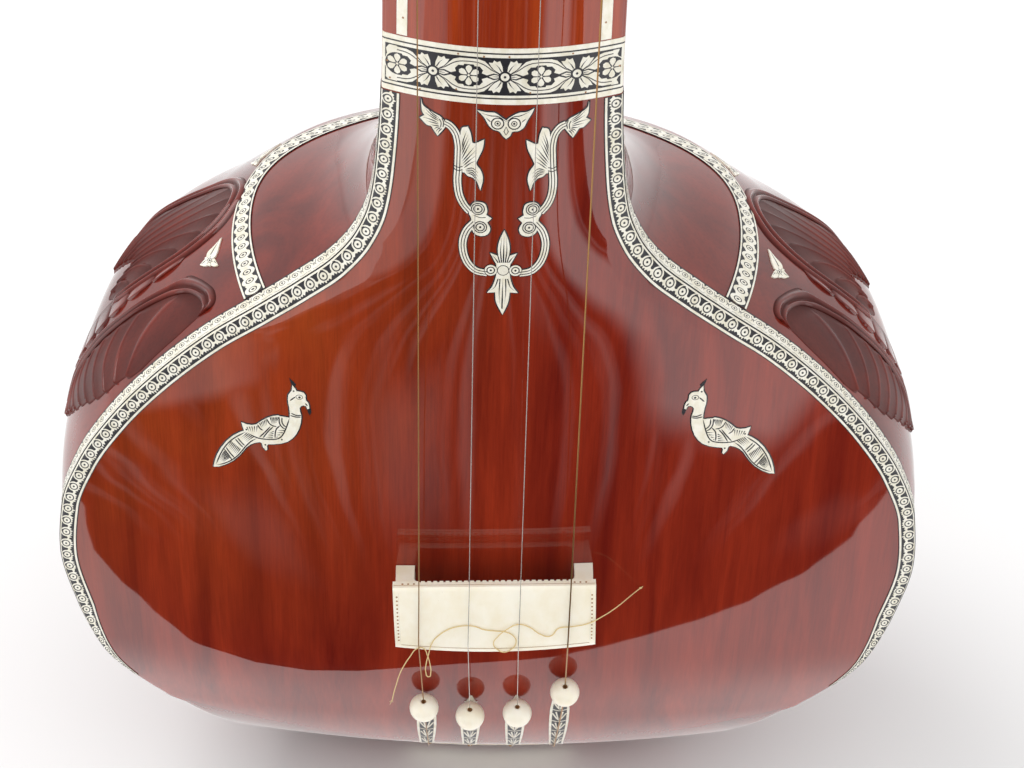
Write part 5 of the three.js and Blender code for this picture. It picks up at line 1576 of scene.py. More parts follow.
class TANPURA_OT_rim_bands(bpy.types.Operator):
    """Lays the eye-pattern band round the edge of the face and the thinner one behind it"""

    bl_idname = "tanpura.rim_bands"
    bl_label = "Rim bands"

    def execute(self, context):
        low, high, width = inlay_sizes(context)
        for name, side in SIDES:
            edge = Edge(side)
            count = round(edge.length / (context.scene.tanpura_sizes.eye_pitch / MM))
            eye_band(name, edge, count, low, high, width)
            flank_band(name, edge, count, low, high)
            neck_strip(name, side, low, high)
        return {"FINISHED"}


# One lobed petal, one pointed petal and one scroll leaf of the joint band, for the upper right of a flower
PETAL = [(0.8, 1.9), (1.1, 4.4), (2.1, 7.0), (3.4, 6.5), (4.5, 7.3), (5.1, 6.1), (6.6, 6.2), (5.8, 4.7),
         (4.5, 3.1), (2.1, 1.5)]
POINTED = [(2.2, 0.45), (4.4, 0.85), (6.5, 0.0), (4.4, -0.85), (2.2, -0.45)]
SCROLL = [(2.5, 1.0), (4.5, 1.5), (7.2, 0.5), (9.3, 1.3), (8.8, 2.6), (10.2, 4.2), (12.2, 4.2), (12.6, 4.9),
          (14.5, 4.9), (14.5, 7.5), (10.6, 7.4), (8.2, 6.6), (6.5, 4.9), (4.9, 3.0)]
PETAL_LINE = [(1.5, 2.3), (2.6, 4.2), (3.9, 5.6)]
SCROLL_LINE = [(2.9, 1.4), (5.5, 3.0), (8.0, 4.8), (10.8, 5.9), (14.5, 6.2)]
# Rows of the joint band's bone, its two black lines, and the places of its flowers across the front
BAND_ROWS = (407.5, 407.5, 413, 420, 427, 432.5, 432.5)
BAND_LINES = (410.2, 430.1)
LARGE_FLOWERS = (-28.2, 0.7, 29.6)
SMALL_FLOWERS = (-13.8, 15.2)
END_FLOWERS = ((-1, -42.6), (1, 44.0))
BAND_NAILS = [(-18.2, 429.0), (-46.7, 420.4), (-45.6, 413.0), (-18.7, 413.2), (-7.9, 428.7), (-33.4, 410.8),
              (2.2, 428.9), (27.6, 429.1), (11.0, 412.9), (33.5, 411.0), (47.0, 420.2)]


# One petal of a small flower: how far out, and how far to the side
SMALL_PETAL = [(0.7, 0), (1.7, 0.75), (2.9, 1.3), (3.9, 1.05), (4.5, 0), (3.9, -1.05), (2.9, -1.3),
               (1.7, -0.75)]


def small_flower(shape, x, z, place, lift):
    """A flower of six petals round a dot."""
    for k in range(6):
        turn = math.pi / 2 + k * math.pi / 3
        way = np.array([math.cos(turn), math.sin(turn)])
        across = np.array([-way[1], way[0]])
        outline = [way * r + across * w for r, w in SMALL_PETAL]
        shape.plate([(x + p[0], z + p[1]) for p in outline], place, lift - 0.1, lift, 0, 4)
    shape.disc(x, z, 0.5, place, lift + 0.03, 0, sides=10)


def joint_place(x, z, lift):
    """On the front over the joint, following the rounded edges of the face."""
    return on_face(x, z, lift - edge_drop(rim_half(z) - np.abs(x), FACE_EDGE))


def joint_across(share, z, lift):
    return joint_place(share * (rim_half(z) - 0.25), z, lift)


def large_flower(band, x, low, high, width):
    """A round flower of the joint band, with pointed petals beside it and lobed ones and scrolls round it."""
    z = JOINT
    for r, lift, finish, sides in ((2.6, 0.04, 1, 22), (1.75, 0.08, 0, 20), (0.55, 0.12, 1, 10)):
        band.disc(x, z, r, joint_place, high + lift, finish, sides=sides)
    for sx in (-1, 1):
        band.plate([(x + sx * a, z + b) for a, b in POINTED], joint_place, low, high, 0, 3)
        band.line([(x + sx * 2.7, z), (x + sx * 5.0, z)], 0.4, joint_place, high, 1, tapers=(0, 0.6))
        for sz in (-1, 1):
            petal, vein, curl, line = (
                [(x + sx * a, z + sz * b) for a, b in points]
                for points in (PETAL, PETAL_LINE, SCROLL, SCROLL_LINE)
            )
            band.plate(petal, joint_place, low, high, 0, 3)
            band.line(vein, width, joint_place, high, 1, tapers=(0, 0.7))
            band.plate(curl, joint_place, low, high, 0, 3)
            band.line(line, width * 0.9, joint_place, high, 1, tapers=(0.2, 0))


class TANPURA_OT_joint_band(bpy.types.Operator):
    """Lays the floral band over the joint of neck and body"""

    bl_idname = "tanpura.joint_band"
    bl_label = "Floral band"

    def execute(self, context):
        low, high, width = inlay_sizes(context)
        band = Shape()
        x = np.linspace(-1, 1, 121)[:, None]
        rows = np.array(BAND_ROWS)[None, :]
        lift = np.array([low] + [high - 0.1] * 5 + [low])[None, :]
        grid = joint_across(x + 0 * rows, rows + 0 * x, lift + 0 * x)
        band.sheet(grid, 0, False, grid + [0, -1.0, 0])
        strip(band, joint_across, (-0.975, 0.975), (JOINT - 8.3, JOINT + 8.3), low, high - 0.04, 1, 121)
        for z in BAND_LINES:
            strip(band, joint_across, (-1, 1), (z - 0.3, z + 0.3), low, high - 0.03, 1, 121)
        for centre in LARGE_FLOWERS:
            large_flower(band, centre, low, high, width)
        for centre in SMALL_FLOWERS:
            small_flower(band, centre, JOINT, joint_place, high)
        for sx, centre in END_FLOWERS:
            turns = np.linspace(-1.6, 1.6, 15)
            arc = [(centre + sx * 4.9 * math.cos(t), JOINT + 4.9 * math.sin(t)) for t in turns]
            top, foot, end = JOINT + 7.8, JOINT - 7.8, sx * 48.3
            corner = [(centre, top), (end, top), (end, foot), (centre, foot)]
            band.plate([*arc, *corner], joint_place, low, high, 0, 3)
            small_flower(band, centre, JOINT, joint_place, high)
        for a, b in BAND_NAILS:
            band.disc(a, b, 0.42, joint_place, high + 0.07, 2, sides=8)
        inlay("floral_band", band, "neck_joint_band", "inlay wax brown")
        return {"FINISHED"}


# Outlines and engraved lines of the figures on the left half of the face, x and z in millimetres
LEAF = [(-32.8, 406.9), (-31.9, 403.6), (-27.4, 401.0), (-24.8, 399.8), (-22.6, 397.0), (-23.4, 394.6),
        (-26.0, 390.9), (-27.8, 393.6), (-28.7, 394.9), (-30.6, 395.3), (-33.3, 397.9), (-31.4, 399.3),
        (-32.5, 401.5)]
# Fans of engraved lines: the first line, the last line, how many
LEAF_FANS = [
    ([(-25.4, 399.2), (-28.4, 401.0), (-31.8, 404.8)], [(-25.6, 397.8), (-28.6, 399.2), (-31.0, 400.6)], 3),
    ([(-25.8, 397.0), (-29.2, 398.0), (-32.2, 398.4)], [(-25.4, 395.8), (-27.4, 395.4), (-28.8, 395.6)], 3),
    ([(-25.2, 395.2), (-26.6, 394.6), (-27.4, 393.6)], [(-24.2, 394.6), (-25.4, 393.2), (-25.9, 391.8)], 3),
]
STEM = [(-23.4, 397.5), (-20.8, 396.2), (-18.5, 393.0), (-17.4, 388.2), (-17.3, 383.2), (-17.4, 377.1),
        (-17.6, 371.0), (-16.8, 364.9), (-14.9, 360.5), (-12.2, 357.1)]
ACANTHUS = [(-16.6, 394.2), (-13.7, 396.8), (-12.5, 393.7), (-11.8, 389.6), (-10.5, 389.4), (-7.0, 391.4),
            (-7.5, 387.1), (-9.5, 381.9), (-9.9, 379.7), (-8.1, 377.0), (-7.1, 373.0), (-8.1, 367.6),
            (-9.3, 370.8), (-11.1, 373.2), (-13.3, 374.0), (-14.7, 375.4), (-15.9, 377.3)]
ACANTHUS_FANS = [
    ([(-16.0, 387.0), (-15.4, 390.6), (-14.2, 394.8)], [(-16.0, 381.6), (-14.4, 385.4), (-12.5, 389.6)], 4),
    ([(-15.8, 380.4), (-13.4, 384.0), (-10.6, 388.2)], [(-15.0, 377.6), (-12.4, 380.0), (-10.2, 381.4)], 4),
    ([(-14.4, 376.9), (-11.6, 377.8), (-9.2, 375.8)], [(-14.0, 375.4), (-11.2, 374.4), (-8.8, 369.8)], 4),
]
KNOT = [(-11.3, 360.8), (-9.1, 362.0), (-6.0, 361.2), (-5.0, 358.1), (-5.4, 356.0), (-3.1, 354.4),
        (-4.9, 352.4), (-3.6, 349.3), (-4.7, 346.6), (-7.4, 345.7), (-9.9, 346.6), (-11.1, 348.6),
        (-11.6, 354.0), (-12.6, 356.6)]
HOOK = [(-10.3, 352.1), (-13.3, 348.1), (-14.9, 342.7), (-14.5, 337.0), (-12.6, 332.1), (-9.1, 328.6),
        (-4.4, 327.6)]
FINIAL_TOP = [(2.3, 348.9), (4.1, 344.2), (4.8, 340.0), (4.5, 336.2), (7.9, 337.6), (6.0, 333.6),
              (5.2, 331.6)]
FINIAL_LOW = [(5.2, 326.6), (6.6, 321.2), (8.8, 317.9), (5.4, 318.2), (4.8, 313.0), (2.6, 306.9)]
# Lines on one half of the finial: how far from its middle, and z
FINIAL_LINES = [
    [(0.8, 333), (1.3, 339), (1.0, 345)], [(1.5, 333), (2.6, 337.5), (2.6, 341)],
    [(2.2, 333), (3.6, 335.2), (4.8, 336.4)], [(1.2, 325), (1.4, 318), (1.0, 312.5)],
    [(2.0, 325), (3.2, 321), (5.2, 319)],
]
COLLARS = [
    [(-25.4, 398.8), (-24.6, 397.2), (-24.8, 395.2)], [(-24.3, 399.2), (-23.6, 397.6), (-23.8, 395.4)],
    [(-19.2, 378.4), (-17.4, 377.6), (-15.6, 378.2)], [(-19.2, 376.9), (-17.4, 376.1), (-15.6, 376.7)],
]
# Heights, and where the vine's middle lies at each
VINE_MIDDLES = ((350, 359, 407), (2.4, 2.45, 1.15))
OWL = [(-10.1, 404.6), (-6.4, 403.9), (-3.0, 403.8), (-0.3, 401.9), (1.7, 400.4), (3.2, 401.9), (6.7, 403.9),
       (10.1, 404.3), (12.9, 405.9), (11.9, 403.3), (10.3, 400.4), (9.0, 397.4), (6.9, 395.7), (4.3, 395.3),
       (3.5, 393.5), (1.9, 392.0), (0.4, 393.5), (-1.0, 395.4), (-3.6, 396.3), (-5.4, 398.2), (-7.3, 401.6)]
OWL_BEAK = [(1.75, 397.6), (2.7, 395.4), (1.8, 393.8), (0.9, 395.4)]
OWL_LINES = [
    [(-8.4, 403.4), (-4.6, 402.4), (-1.6, 402.2), (1.7, 399.9)],
    [(11.2, 404.4), (7.4, 402.6), (4.8, 402.2), (1.7, 399.9)],
    [(-6.4, 401.4), (-4.6, 399.6)], [(9.6, 401.2), (8.0, 399.6)],
]
OWL_EYES = ((-1.75, 399.0), (5.0, 399.0))
# Eyes in the curls of the vine's left half, and at the lower end of each half
KNOT_EYES = ((-8.9, 358.7), (-7.8, 350.0))
KNOT_LINE = [(-10.6, 355.6), (-8.0, 354.6), (-5.6, 354.8)]
HOOK_EYES = {-1: (-2.9, 329.1), 1: (7.5, 329.1)}
FINIAL_MIDDLE = (2.3, 329.2)
# The right peacock
BIRD = [(92.0, 268.2), (92.2, 265.5), (92.8, 264.4), (93.7, 262.9), (93.9, 261.1), (93.8, 258.9),
        (93.3, 256.4), (93.0, 253.4), (93.0, 251.2), (93.5, 250.7), (95.2, 250.9), (97.4, 251.0),
        (98.3, 251.4), (100.3, 250.9), (102.9, 249.7), (105.6, 247.7), (108.3, 245.3), (110.2, 244.8),
        (112.4, 244.9), (114.9, 245.7), (114.4, 243.9), (113.7, 241.3), (115.7, 240.3), (118.7, 238.1),
        (121.8, 234.7), (124.4, 230.6), (126.0, 227.1), (127.2, 223.2), (127.8, 219.9), (125.4, 220.2),
        (122.0, 221.9), (118.6, 224.4), (115.8, 227.6), (113.9, 230.4), (112.7, 232.3), (110.8, 234.1),
        (108.8, 235.3), (106.5, 236.0), (105.6, 235.5), (105.1, 233.4), (103.7, 231.6), (103.1, 232.3),
        (103.3, 234.2), (102.8, 235.2), (100.2, 235.5), (97.0, 236.2), (94.0, 237.5), (91.7, 239.6),
        (89.9, 242.3), (88.7, 245.4), (88.0, 248.4), (87.8, 251.1), (87.9, 252.9), (88.4, 254.7),
        (88.6, 256.6), (88.0, 257.5), (86.9, 258.1), (85.7, 257.8), (85.1, 256.3), (84.3, 256.6),
        (84.3, 258.0), (84.8, 259.7), (85.8, 260.9), (86.0, 262.2), (86.0, 263.6), (86.9, 264.8),
        (88.3, 265.2), (90.0, 265.2), (90.7, 266.6)]
BIRD_LINES = [
    [(90.5, 262.3), (91.7, 261.2), (93.0, 259.9)], [(85.0, 258.0), (86.2, 259.4)],
    [(87.7, 252.7), (90.1, 252.4), (92.5, 253.4)], [(87.8, 251.8), (90.2, 251.5), (92.8, 252.1)],
    [(93.0, 251.2), (93.7, 248.2), (94.8, 244.4), (96.0, 241.4), (97.4, 239.4), (99.3, 238.4), (102.5, 237.9),
     (105.7, 237.9), (107.6, 238.2), (110.0, 239.2), (112.5, 240.6)],
    [(96.5, 250.7), (96.5, 248.1), (95.6, 246.3), (94.2, 245.4)],
    [(97.7, 250.8), (97.7, 247.7), (96.6, 245.5), (94.8, 244.2)],
    [(103.5, 249.2), (102.5, 247.1), (101.0, 245.7), (98.8, 245.3)],
    [(107.6, 245.5), (106.5, 243.5), (105.0, 242.5)],
    [(97.2, 246.2), (98.9, 244.2), (99.5, 242.0), (99.6, 238.8)],
    [(100.4, 245.1), (102.8, 242.2), (105.2, 238.2)],
    [(101.7, 245.1), (104.1, 241.8), (106.9, 238.4)],
    [(112.8, 240.8), (116.5, 238.2), (119.6, 235.4), (122.5, 231.5), (124.4, 227.6), (125.7, 224.1),
     (126.6, 221.3)],
    [(107.8, 238.0), (110.6, 235.8), (113.1, 232.7), (114.6, 230.3), (116.8, 227.2), (119.6, 224.4),
     (122.9, 222.3), (126.3, 221.0)],
    [(116.7, 237.2), (115.1, 235.1), (113.4, 233.2)], [(117.7, 236.4), (116.0, 234.2), (114.2, 232.2)],
    [(122.0, 231.5), (120.6, 229.1), (118.0, 225.8)], [(122.9, 230.4), (121.5, 228.3), (119.2, 224.6)],
]
# Shading strokes of wing and tail: first stroke, last stroke, how many
BIRD_HATCH = [
    ([(98.0, 250.6), (99.2, 247.2)], [(101.8, 250.0), (101.0, 246.6)], 6),
    ([(103.8, 248.6), (103.4, 245.6)], [(106.6, 246.4), (105.6, 243.8)], 5),
    ([(107.8, 244.6), (108.0, 241.4)], [(112.4, 243.6), (111.4, 241.2)], 5),
    ([(95.0, 243.6), (98.4, 243.4)], [(98.4, 239.8), (99.2, 239.4)], 4),
    ([(100.2, 242.6), (102.2, 241.4)], [(100.6, 239.0), (103.8, 238.8)], 4),
    ([(109.4, 238.6), (112.6, 235.6)], [(112.4, 240.2), (115.0, 237.4)], 5),
    ([(115.4, 231.4), (117.4, 227.8)], [(119.4, 234.8), (121.2, 231.6)], 8),
    ([(120.2, 226.2), (123.4, 223.0)], [(122.6, 229.2), (125.0, 224.6)], 7),
]
BIRD_EYE = (88.7, 262.2)
BIRD_NAILS = [(96.5, 238.5), (104.0, 234.8), (91.4, 265.2), (112.6, 242.1), (122.7, 225.2)]
# The black tips of crest and bill
PLUME = [(91.6, 267.6), (92.6, 268.9), (93.4, 271.6), (91.6, 270.0), (90.4, 268.6), (90.9, 267.3)]
BILL = [(84.4, 258.2), (85.3, 256.6), (84.9, 254.6), (84.0, 252.9), (83.3, 254.6), (83.6, 256.6)]
# Marks of the right bird and where the same marks lie on the left one
MARKS_RIGHT = [(92.0, 268.2), (84.3, 256.6), (127.8, 219.9), (103.7, 231.6), (114.9, 245.7)]
MARKS_LEFT = [(-88.5, 264.1), (-80.4, 253.7), (-124.7, 218.5), (-101.5, 229.0), (-112.3, 242.9)]


def left_bird():
    """The turn, size and shift that lay the mirrored right bird on the left one's marks."""
    source = np.array([complex(-x, z) for x, z in MARKS_RIGHT])
    target = np.array([complex(x, z) for x, z in MARKS_LEFT])
    a, b = source - source.mean(), target - target.mean()
    turn = np.sum(b * a.conj()) / np.sum(abs(a) ** 2)
    shift = target.mean() - turn * source.mean()

    def lay(points):
        spots = [turn * complex(-x, z) + shift for x, z in points]
        return [(spot.real, spot.imag) for spot in spots]

    return lay


def flowing(outline):
    """A closed outline with its gentle bends drawn as curves and its sharp corners kept."""
    p = np.asarray(outline, float)
    before, after = unit(p - np.roll(p, 1, 0)), unit(np.roll(p, -1, 0) - p)
    sharp = np.sum(before * after, -1) < math.cos(math.radians(58))
    t = np.linspace(0, 1, 5)[:-1, None]
    pieces = []
    for k in range(len(p)):
        b, c = p[k], p[(k + 1) % len(p)]
        a = 2 * b - c if sharp[k] else p[k - 1]
        d = 2 * c - b if sharp[(k + 1) % len(p)] else p[(k + 2) % len(p)]
        pieces.append(bend(a, b, c, d, t))
    return [tuple(q) for q in np.vstack(pieces)]


def halo(shape, outline):
    """The dark line of wax round an inlaid outline."""
    shape.line(outline, 1.2, on_face, 0.1, 1, closed=True)


def fans(shape, lay, rows, width, lift, tapers):
    """Engraved lines in fans, each spread from its first line to its last one."""
    for first, last, count in rows:
        for share in np.linspace(0, 1, count):
            line = mix(np.array(first), np.array(last), share)
            shape.line(lay(line), width, on_face, lift, 1, tapers=tapers)


def peacock(name, lay, low, high, width):
    """An inlaid peacock with engraved wing and tail, and black tips of crest and bill."""
    bird = Shape()
    outline = lay(BIRD)
    halo(bird, outline)
    bird.plate(outline, on_face, low, high)
    for line in BIRD_LINES:
        bird.line(lay(line), width * 1.25, on_face, high, 1, tapers=(0.12, 0.12))
    fans(bird, lay, BIRD_HATCH, 0.55, high, (0, 0.8))
    bird.line(lay(oval(88.8, 262.3, 1.5, 1.15, 14)), 0.32, on_face, high, 1, closed=True)
    for patch in (PLUME, BILL):
        bird.plate(lay(patch), on_face, low, 0.2, 1)
    for spot, r in ((BIRD_EYE, 0.55), *((nail, 0.42) for nail in BIRD_NAILS)):
        x, z = lay([spot])[0]
        bird.disc(x, z, r, on_face, high + 0.03, 1, sides=9)
    inlay(f"inlaid_peacock_{name}", bird, f"peacock_{name}", "inlay wax brown")


def scroll(name, side, low, high, width):
    """One half of the scroll vine: leaf, acanthus and knot on a double stem, with eyes in its curls."""
    vine = Shape()

    def lay(points):
        if side < 0:
            return [tuple(p[:2]) for p in points]
        return [(2 * float(np.interp(p[1], *VINE_MIDDLES)) - p[0], p[1]) for p in points]

    for outline in (LEAF, ACANTHUS, KNOT):
        outline = lay(flowing(outline))
        halo(vine, outline)
        vine.plate(outline, on_face, low, high)
    for line in (STEM, HOOK):
        vine.line(lay(line), 4.2, on_face, 0.04, 1, 0.5)
        vine.line(lay(line), 3.1, on_face, high + 0.01, 0, 0.5)
        for share in (-0.62, 0.62):
            p = smooth_line(lay(line), 0.8)
            way = unit(np.gradient(p, axis=0))
            beside = p + np.stack([-way[:, 1], way[:, 0]], -1) * share
            vine.line(beside, 0.46, on_face, high + 0.04, 1)
    fans(vine, lay, (*LEAF_FANS, *ACANTHUS_FANS), width, high, (0.2, 0.6))
    for collar in COLLARS:
        vine.line(lay(collar), 0.4, on_face, high + 0.08, 1)
    for spot in KNOT_EYES:
        x, z = lay([spot])[0]
        vine.disc(x, z, 2.5, on_face, high + 0.05, 0, sides=20)
        eye(vine, x, z, on_face, high + 0.06, 1.75, width)
        vine.ring(x, z, 2.65, 0.5, on_face, high + 0.05, 1)
    vine.line(lay(KNOT_LINE), 0.36, on_face, high, 1)
    x, z = HOOK_EYES[side]
    vine.disc(x, z, 2.7, on_face, high + 0.05, 0, sides=20, low=low)
    eye(vine, x, z, on_face, high + 0.06, 1.6, width)
    vine.ring(x, z, 2.75, 0.3, on_face, high + 0.05, 1)
    inlay(f"inlaid_scroll_{name}", vine, f"scroll_vine_{name}", "inlay wax brown")


def finial(low, high):
    """The pointed leaf between the two halves of the vine, the same on both sides of its middle."""
    leaf = Shape()
    (middle, eye_z), top = FINIAL_MIDDLE, high + 0.06
    right = FINIAL_TOP + FINIAL_LOW
    outline = flowing(right + [(2 * middle - x, z) for x, z in reversed(right[1:-1])])
    halo(leaf, outline)
    leaf.plate(outline, on_face, low, top)
    leaf.disc(middle, eye_z, 2.4, on_face, high + 0.1, 0, sides=20)
    leaf.ring(middle, eye_z, 2.4, 0.36, on_face, high + 0.1, 1)
    for start, end in ((346, 333), (325, 310)):
        leaf.line([(middle, start), (middle, end)], 0.7, on_face, top, 1, tapers=(0.7, 0))
    for sx in (-1, 1):
        for line in FINIAL_LINES:
            leaf.line([(middle + sx * a, z) for a, z in line], 0.6, on_face, top, 1, tapers=(0, 0.7))
    inlay("inlaid_finial", leaf, "vine_finial", "inlay wax brown")


def owl(low, high):
    """The owl-like mask between the two upper leaves of the vine."""
    mask = Shape()
    outline = flowing(OWL)
    halo(mask, outline)
    mask.plate(outline, on_face, low, high)
    for x, z in OWL_EYES:
        for r, width in ((2.5, 0.6), (1.1, 0.4)):
            mask.ring(x, z, r, width, on_face, high, 1)
        mask.disc(x, z, 0.5, on_face, high + 0.04, 1, sides=9)
    mask.line(OWL_BEAK, 0.45, on_face, high, 1, closed=True)
    for line in OWL_LINES:
        mask.line(line, 0.5, on_face, high, 1, tapers=(0.4, 0.2))
    inlay("inlaid_owl", mask, "owl_motif", "inlay wax brown")


class TANPURA_OT_figures(bpy.types.Operator):
    """Inlays the two peacocks, the scroll vine with its finial, and the owl-like mask on the face"""

    bl_idname = "tanpura.figures"
    bl_label = "Face figures"

    def execute(self, context):
        low, high, width = inlay_sizes(context)
        for name, lay in (("right", list), ("left", left_bird())):
            peacock(name, lay, low, high, width)
        for name, side in SIDES:
            scroll(name, side, low, high, width)
        finial(low, high)
        owl(low, high)
        return {"FINISHED"}


# Half width of a guard, and its shares at seven even places from foot to point
GUARD_SHARES = (0.72, 0.8, 0.92, 1.0, 1.0, 0.8, 0.1)
GUARD_HALF = 4.8
# Each fan of a guard: half its width at most, its height, and how far it is to the next
FAN_HALF, FAN_HEIGHT, FAN_PITCH = 3.5, 9.6, 10.2


def guard_share(v):
    """Share of a guard's half width at a share of its height."""
    return np.interp(v * 6, np.arange(7), GUARD_SHARES)


class TANPURA_OT_guards(bpy.types.Operator):
    """Inlays the pointed guards under the beads, engraved with fans"""

    bl_idname = "tanpura.guards"
    bl_label = "String guards"

    def execute(self, context):
        low, high, _ = inlay_sizes(context)
        for index in range(4):
            x, top = (bead_x(index) + tail_x(index)) / 2, GUARD_TOPS[index]
            v = np.linspace(0, 1, 26)
            z, half = mix(GUARD_LOW, top, v), GUARD_HALF * guard_share(v)
            guard = Shape()

            def outline(share, start=0, end=26):
                side = [(x + h * share, q) for h, q in zip(half[start:end], z[start:end])]
                return side + [(2 * x - a, b) for a, b in reversed(side)]

            guard.plate(outline(1.0), on_face, low, high, 0, 3)
            guard.plate(outline(0.74, 1, 24), on_face, low, high + 0.04, 1, 3)
            lift, base = high + 0.06, GUARD_LOW + 2.5
            while base < top - 9:
                h = FAN_HALF * float(guard_share((base - GUARD_LOW) / (top - GUARD_LOW)))
                for k in (-1, -0.5, 0.5, 1):
                    tip = (x + k * h, base + FAN_HEIGHT - 2.4 * abs(k))
                    guard.line([(x + 0.15 * k, base), tip], 0.8, on_face, lift, 0, tapers=(0.3, 0))
                chevron = [(x - h, base + 0.4), (x, base - 0.9), (x + h, base + 0.4)]
                guard.line(chevron, 0.6, on_face, lift, 0)
                base += FAN_PITCH
            inlay(f"inlaid_guard_{index + 1}", guard, f"string_guard_{index + 1}")
        return {"FINISHED"}


# How far one millimetre to the side and one up in a flower goes along the turn, then in height
FLOWER_SLANT = (-0.74, 1.45, 0.545, 0.148)


# The arc's half width and its bone lines, the pitch of its eyes, and how far it keeps off the face's plane
ARC_HALF = 3.35
ARC_LINES = ((-3.25, -2.75), (2.75, 3.25))
ARC_PITCH = 6.4
ARC_GAP = 5.2


def shoulder_eyes(low, high):
    """The arc of oval eyes over the joint of gourd and shoulder, between two bone lines."""
    start = math.asin(ARC_GAP / float(back_depth(SHOULDER_Z)))
    turn = np.linspace(start, math.pi - start, 1200)
    z = SHOULDER_Z + 10 * np.sin(turn) + 18 * np.sin(turn) ** 2
    along = run_length(back_point(turn, z))
    length = float(along[-1])

    def place(a, b, lift):
        return on_back(np.interp(a, along, turn), np.interp(a, along, z) + b, lift)

    band = Shape()
    strip(band, place, (0, length), (-ARC_HALF, ARC_HALF), low, high - 0.12, 1, 420)
    for edges in ARC_LINES:
        strip(band, place, (0, length), edges, low, high, 0, 420)
    count = round(length / ARC_PITCH)
    pitch = length / count
    for k in range(count):
        a = (k + 0.5) * pitch
        band.plate(oval(a, 0, 2.95, 2.45, 18), place, low, high, 0, 5)
        if k < count - 1:
            joint = a + pitch / 2
            left, right = joint - 0.9, joint + 0.9
            waist = [(left, -1.9), (right, -1.5), (right, 1.5), (left, 1.1)]
            band.plate(waist, place, low, high - 0.02, 0, 5)
        eye(band, a, 0, place, high, 1.55, 0.42, 1.15)
    inlay("shoulder_eye_band", band, "shoulder_band")


# Leaves and engraved lines of a shoulder flower, round its middle
FLOWER_LEAVES = [
    [(-2.0, 1.6), (-1.2, 4.4), (2.0, 7.8), (5.8, 12.4), (4.8, 8.0), (4.0, 4.8), (2.6, 1.6)],
    [(-2.0, 1.4), (-3.6, -0.4), (-5.4, -2.4), (-3.2, -3.0), (-1.2, -2.6)],
    [(2.0, 1.4), (3.2, -0.6), (4.0, -2.4), (2.4, -3.1), (0.8, -2.8)],
]
FLOWER_LINES = [
    [(0.4, 3.0), (2.0, 6.0), (4.6, 10.4)], [(-2.4, -0.4), (-4.6, -2.0)], [(2.4, -0.4), (3.4, -1.9)],
]
FLOWER_PETALS = 7
# Where the flowers lie, as shares of half a turn and of the joint height
FLOWER_PLACES = (("front", 0.0735, 0.697), ("rear", 0.222, 0.727))


def shoulder_flower(side, turn0, z0):
    """One small flower: three leaves under a rosette of seven petals."""
    near = [back_point(turn0 + way * 0.02, z0) for way in (1, -1)]
    reach = float(np.linalg.norm(near[0] - near[1])) / 0.04
    across_x, across_y, up_x, up_y = FLOWER_SLANT

    def spot(x, y, lift):
        t = turn0 + (across_x * x + across_y * y) / reach
        return on_back(t if side > 0 else math.pi - t, z0 + up_x * x + up_y * y, lift)

    flower = Shape()
    base, top = -CLEARANCE, 0.7
    for leaf in FLOWER_LEAVES:
        flower.plate(flowing(leaf), spot, base, top - 0.05)
    turns = circle(6 * FLOWER_PETALS)
    radius = 2.7 + 0.3 * np.cos(FLOWER_PETALS * turns)
    flower.plate(np.stack([radius * np.cos(turns), radius * np.sin(turns)], -1), spot, base, top)
    for line in FLOWER_LINES:
        flower.line(line, 0.42, spot, top - 0.02, 1, tapers=(0, 0.6))
    eye(flower, 0, 0, spot, top, 1.1, 0.36)
    for k in range(FLOWER_PETALS):
        t = (k + 0.5) * 2 * math.pi / FLOWER_PETALS
        ray = [(r * math.cos(t), r * math.sin(t)) for r in (1.5, 2.5)]
        flower.line(ray, 0.34, spot, top, 1, tapers=(0, 0.5))
    return flower


class TANPURA_OT_shoulder_band(bpy.types.Operator):
    """Lays the arc of eyes over the joint of gourd and shoulder, and the four small flowers"""

    bl_idname = "tanpura.shoulder_band"
    bl_label = "Shoulder band and flowers"

    def execute(self, context):
        shoulder_eyes(-CLEARANCE, inlay_sizes(context)[1] + 0.25)
        for name, side in SIDES:
            for where, share, height in FLOWER_PLACES:
                flower = shoulder_flower(side, math.pi * share, height * JOINT)
                inlay(f"inlaid_flower_{where}_{name}", flower, f"shoulder_flower_{where}_{name}")
        return {"FINISHED"}


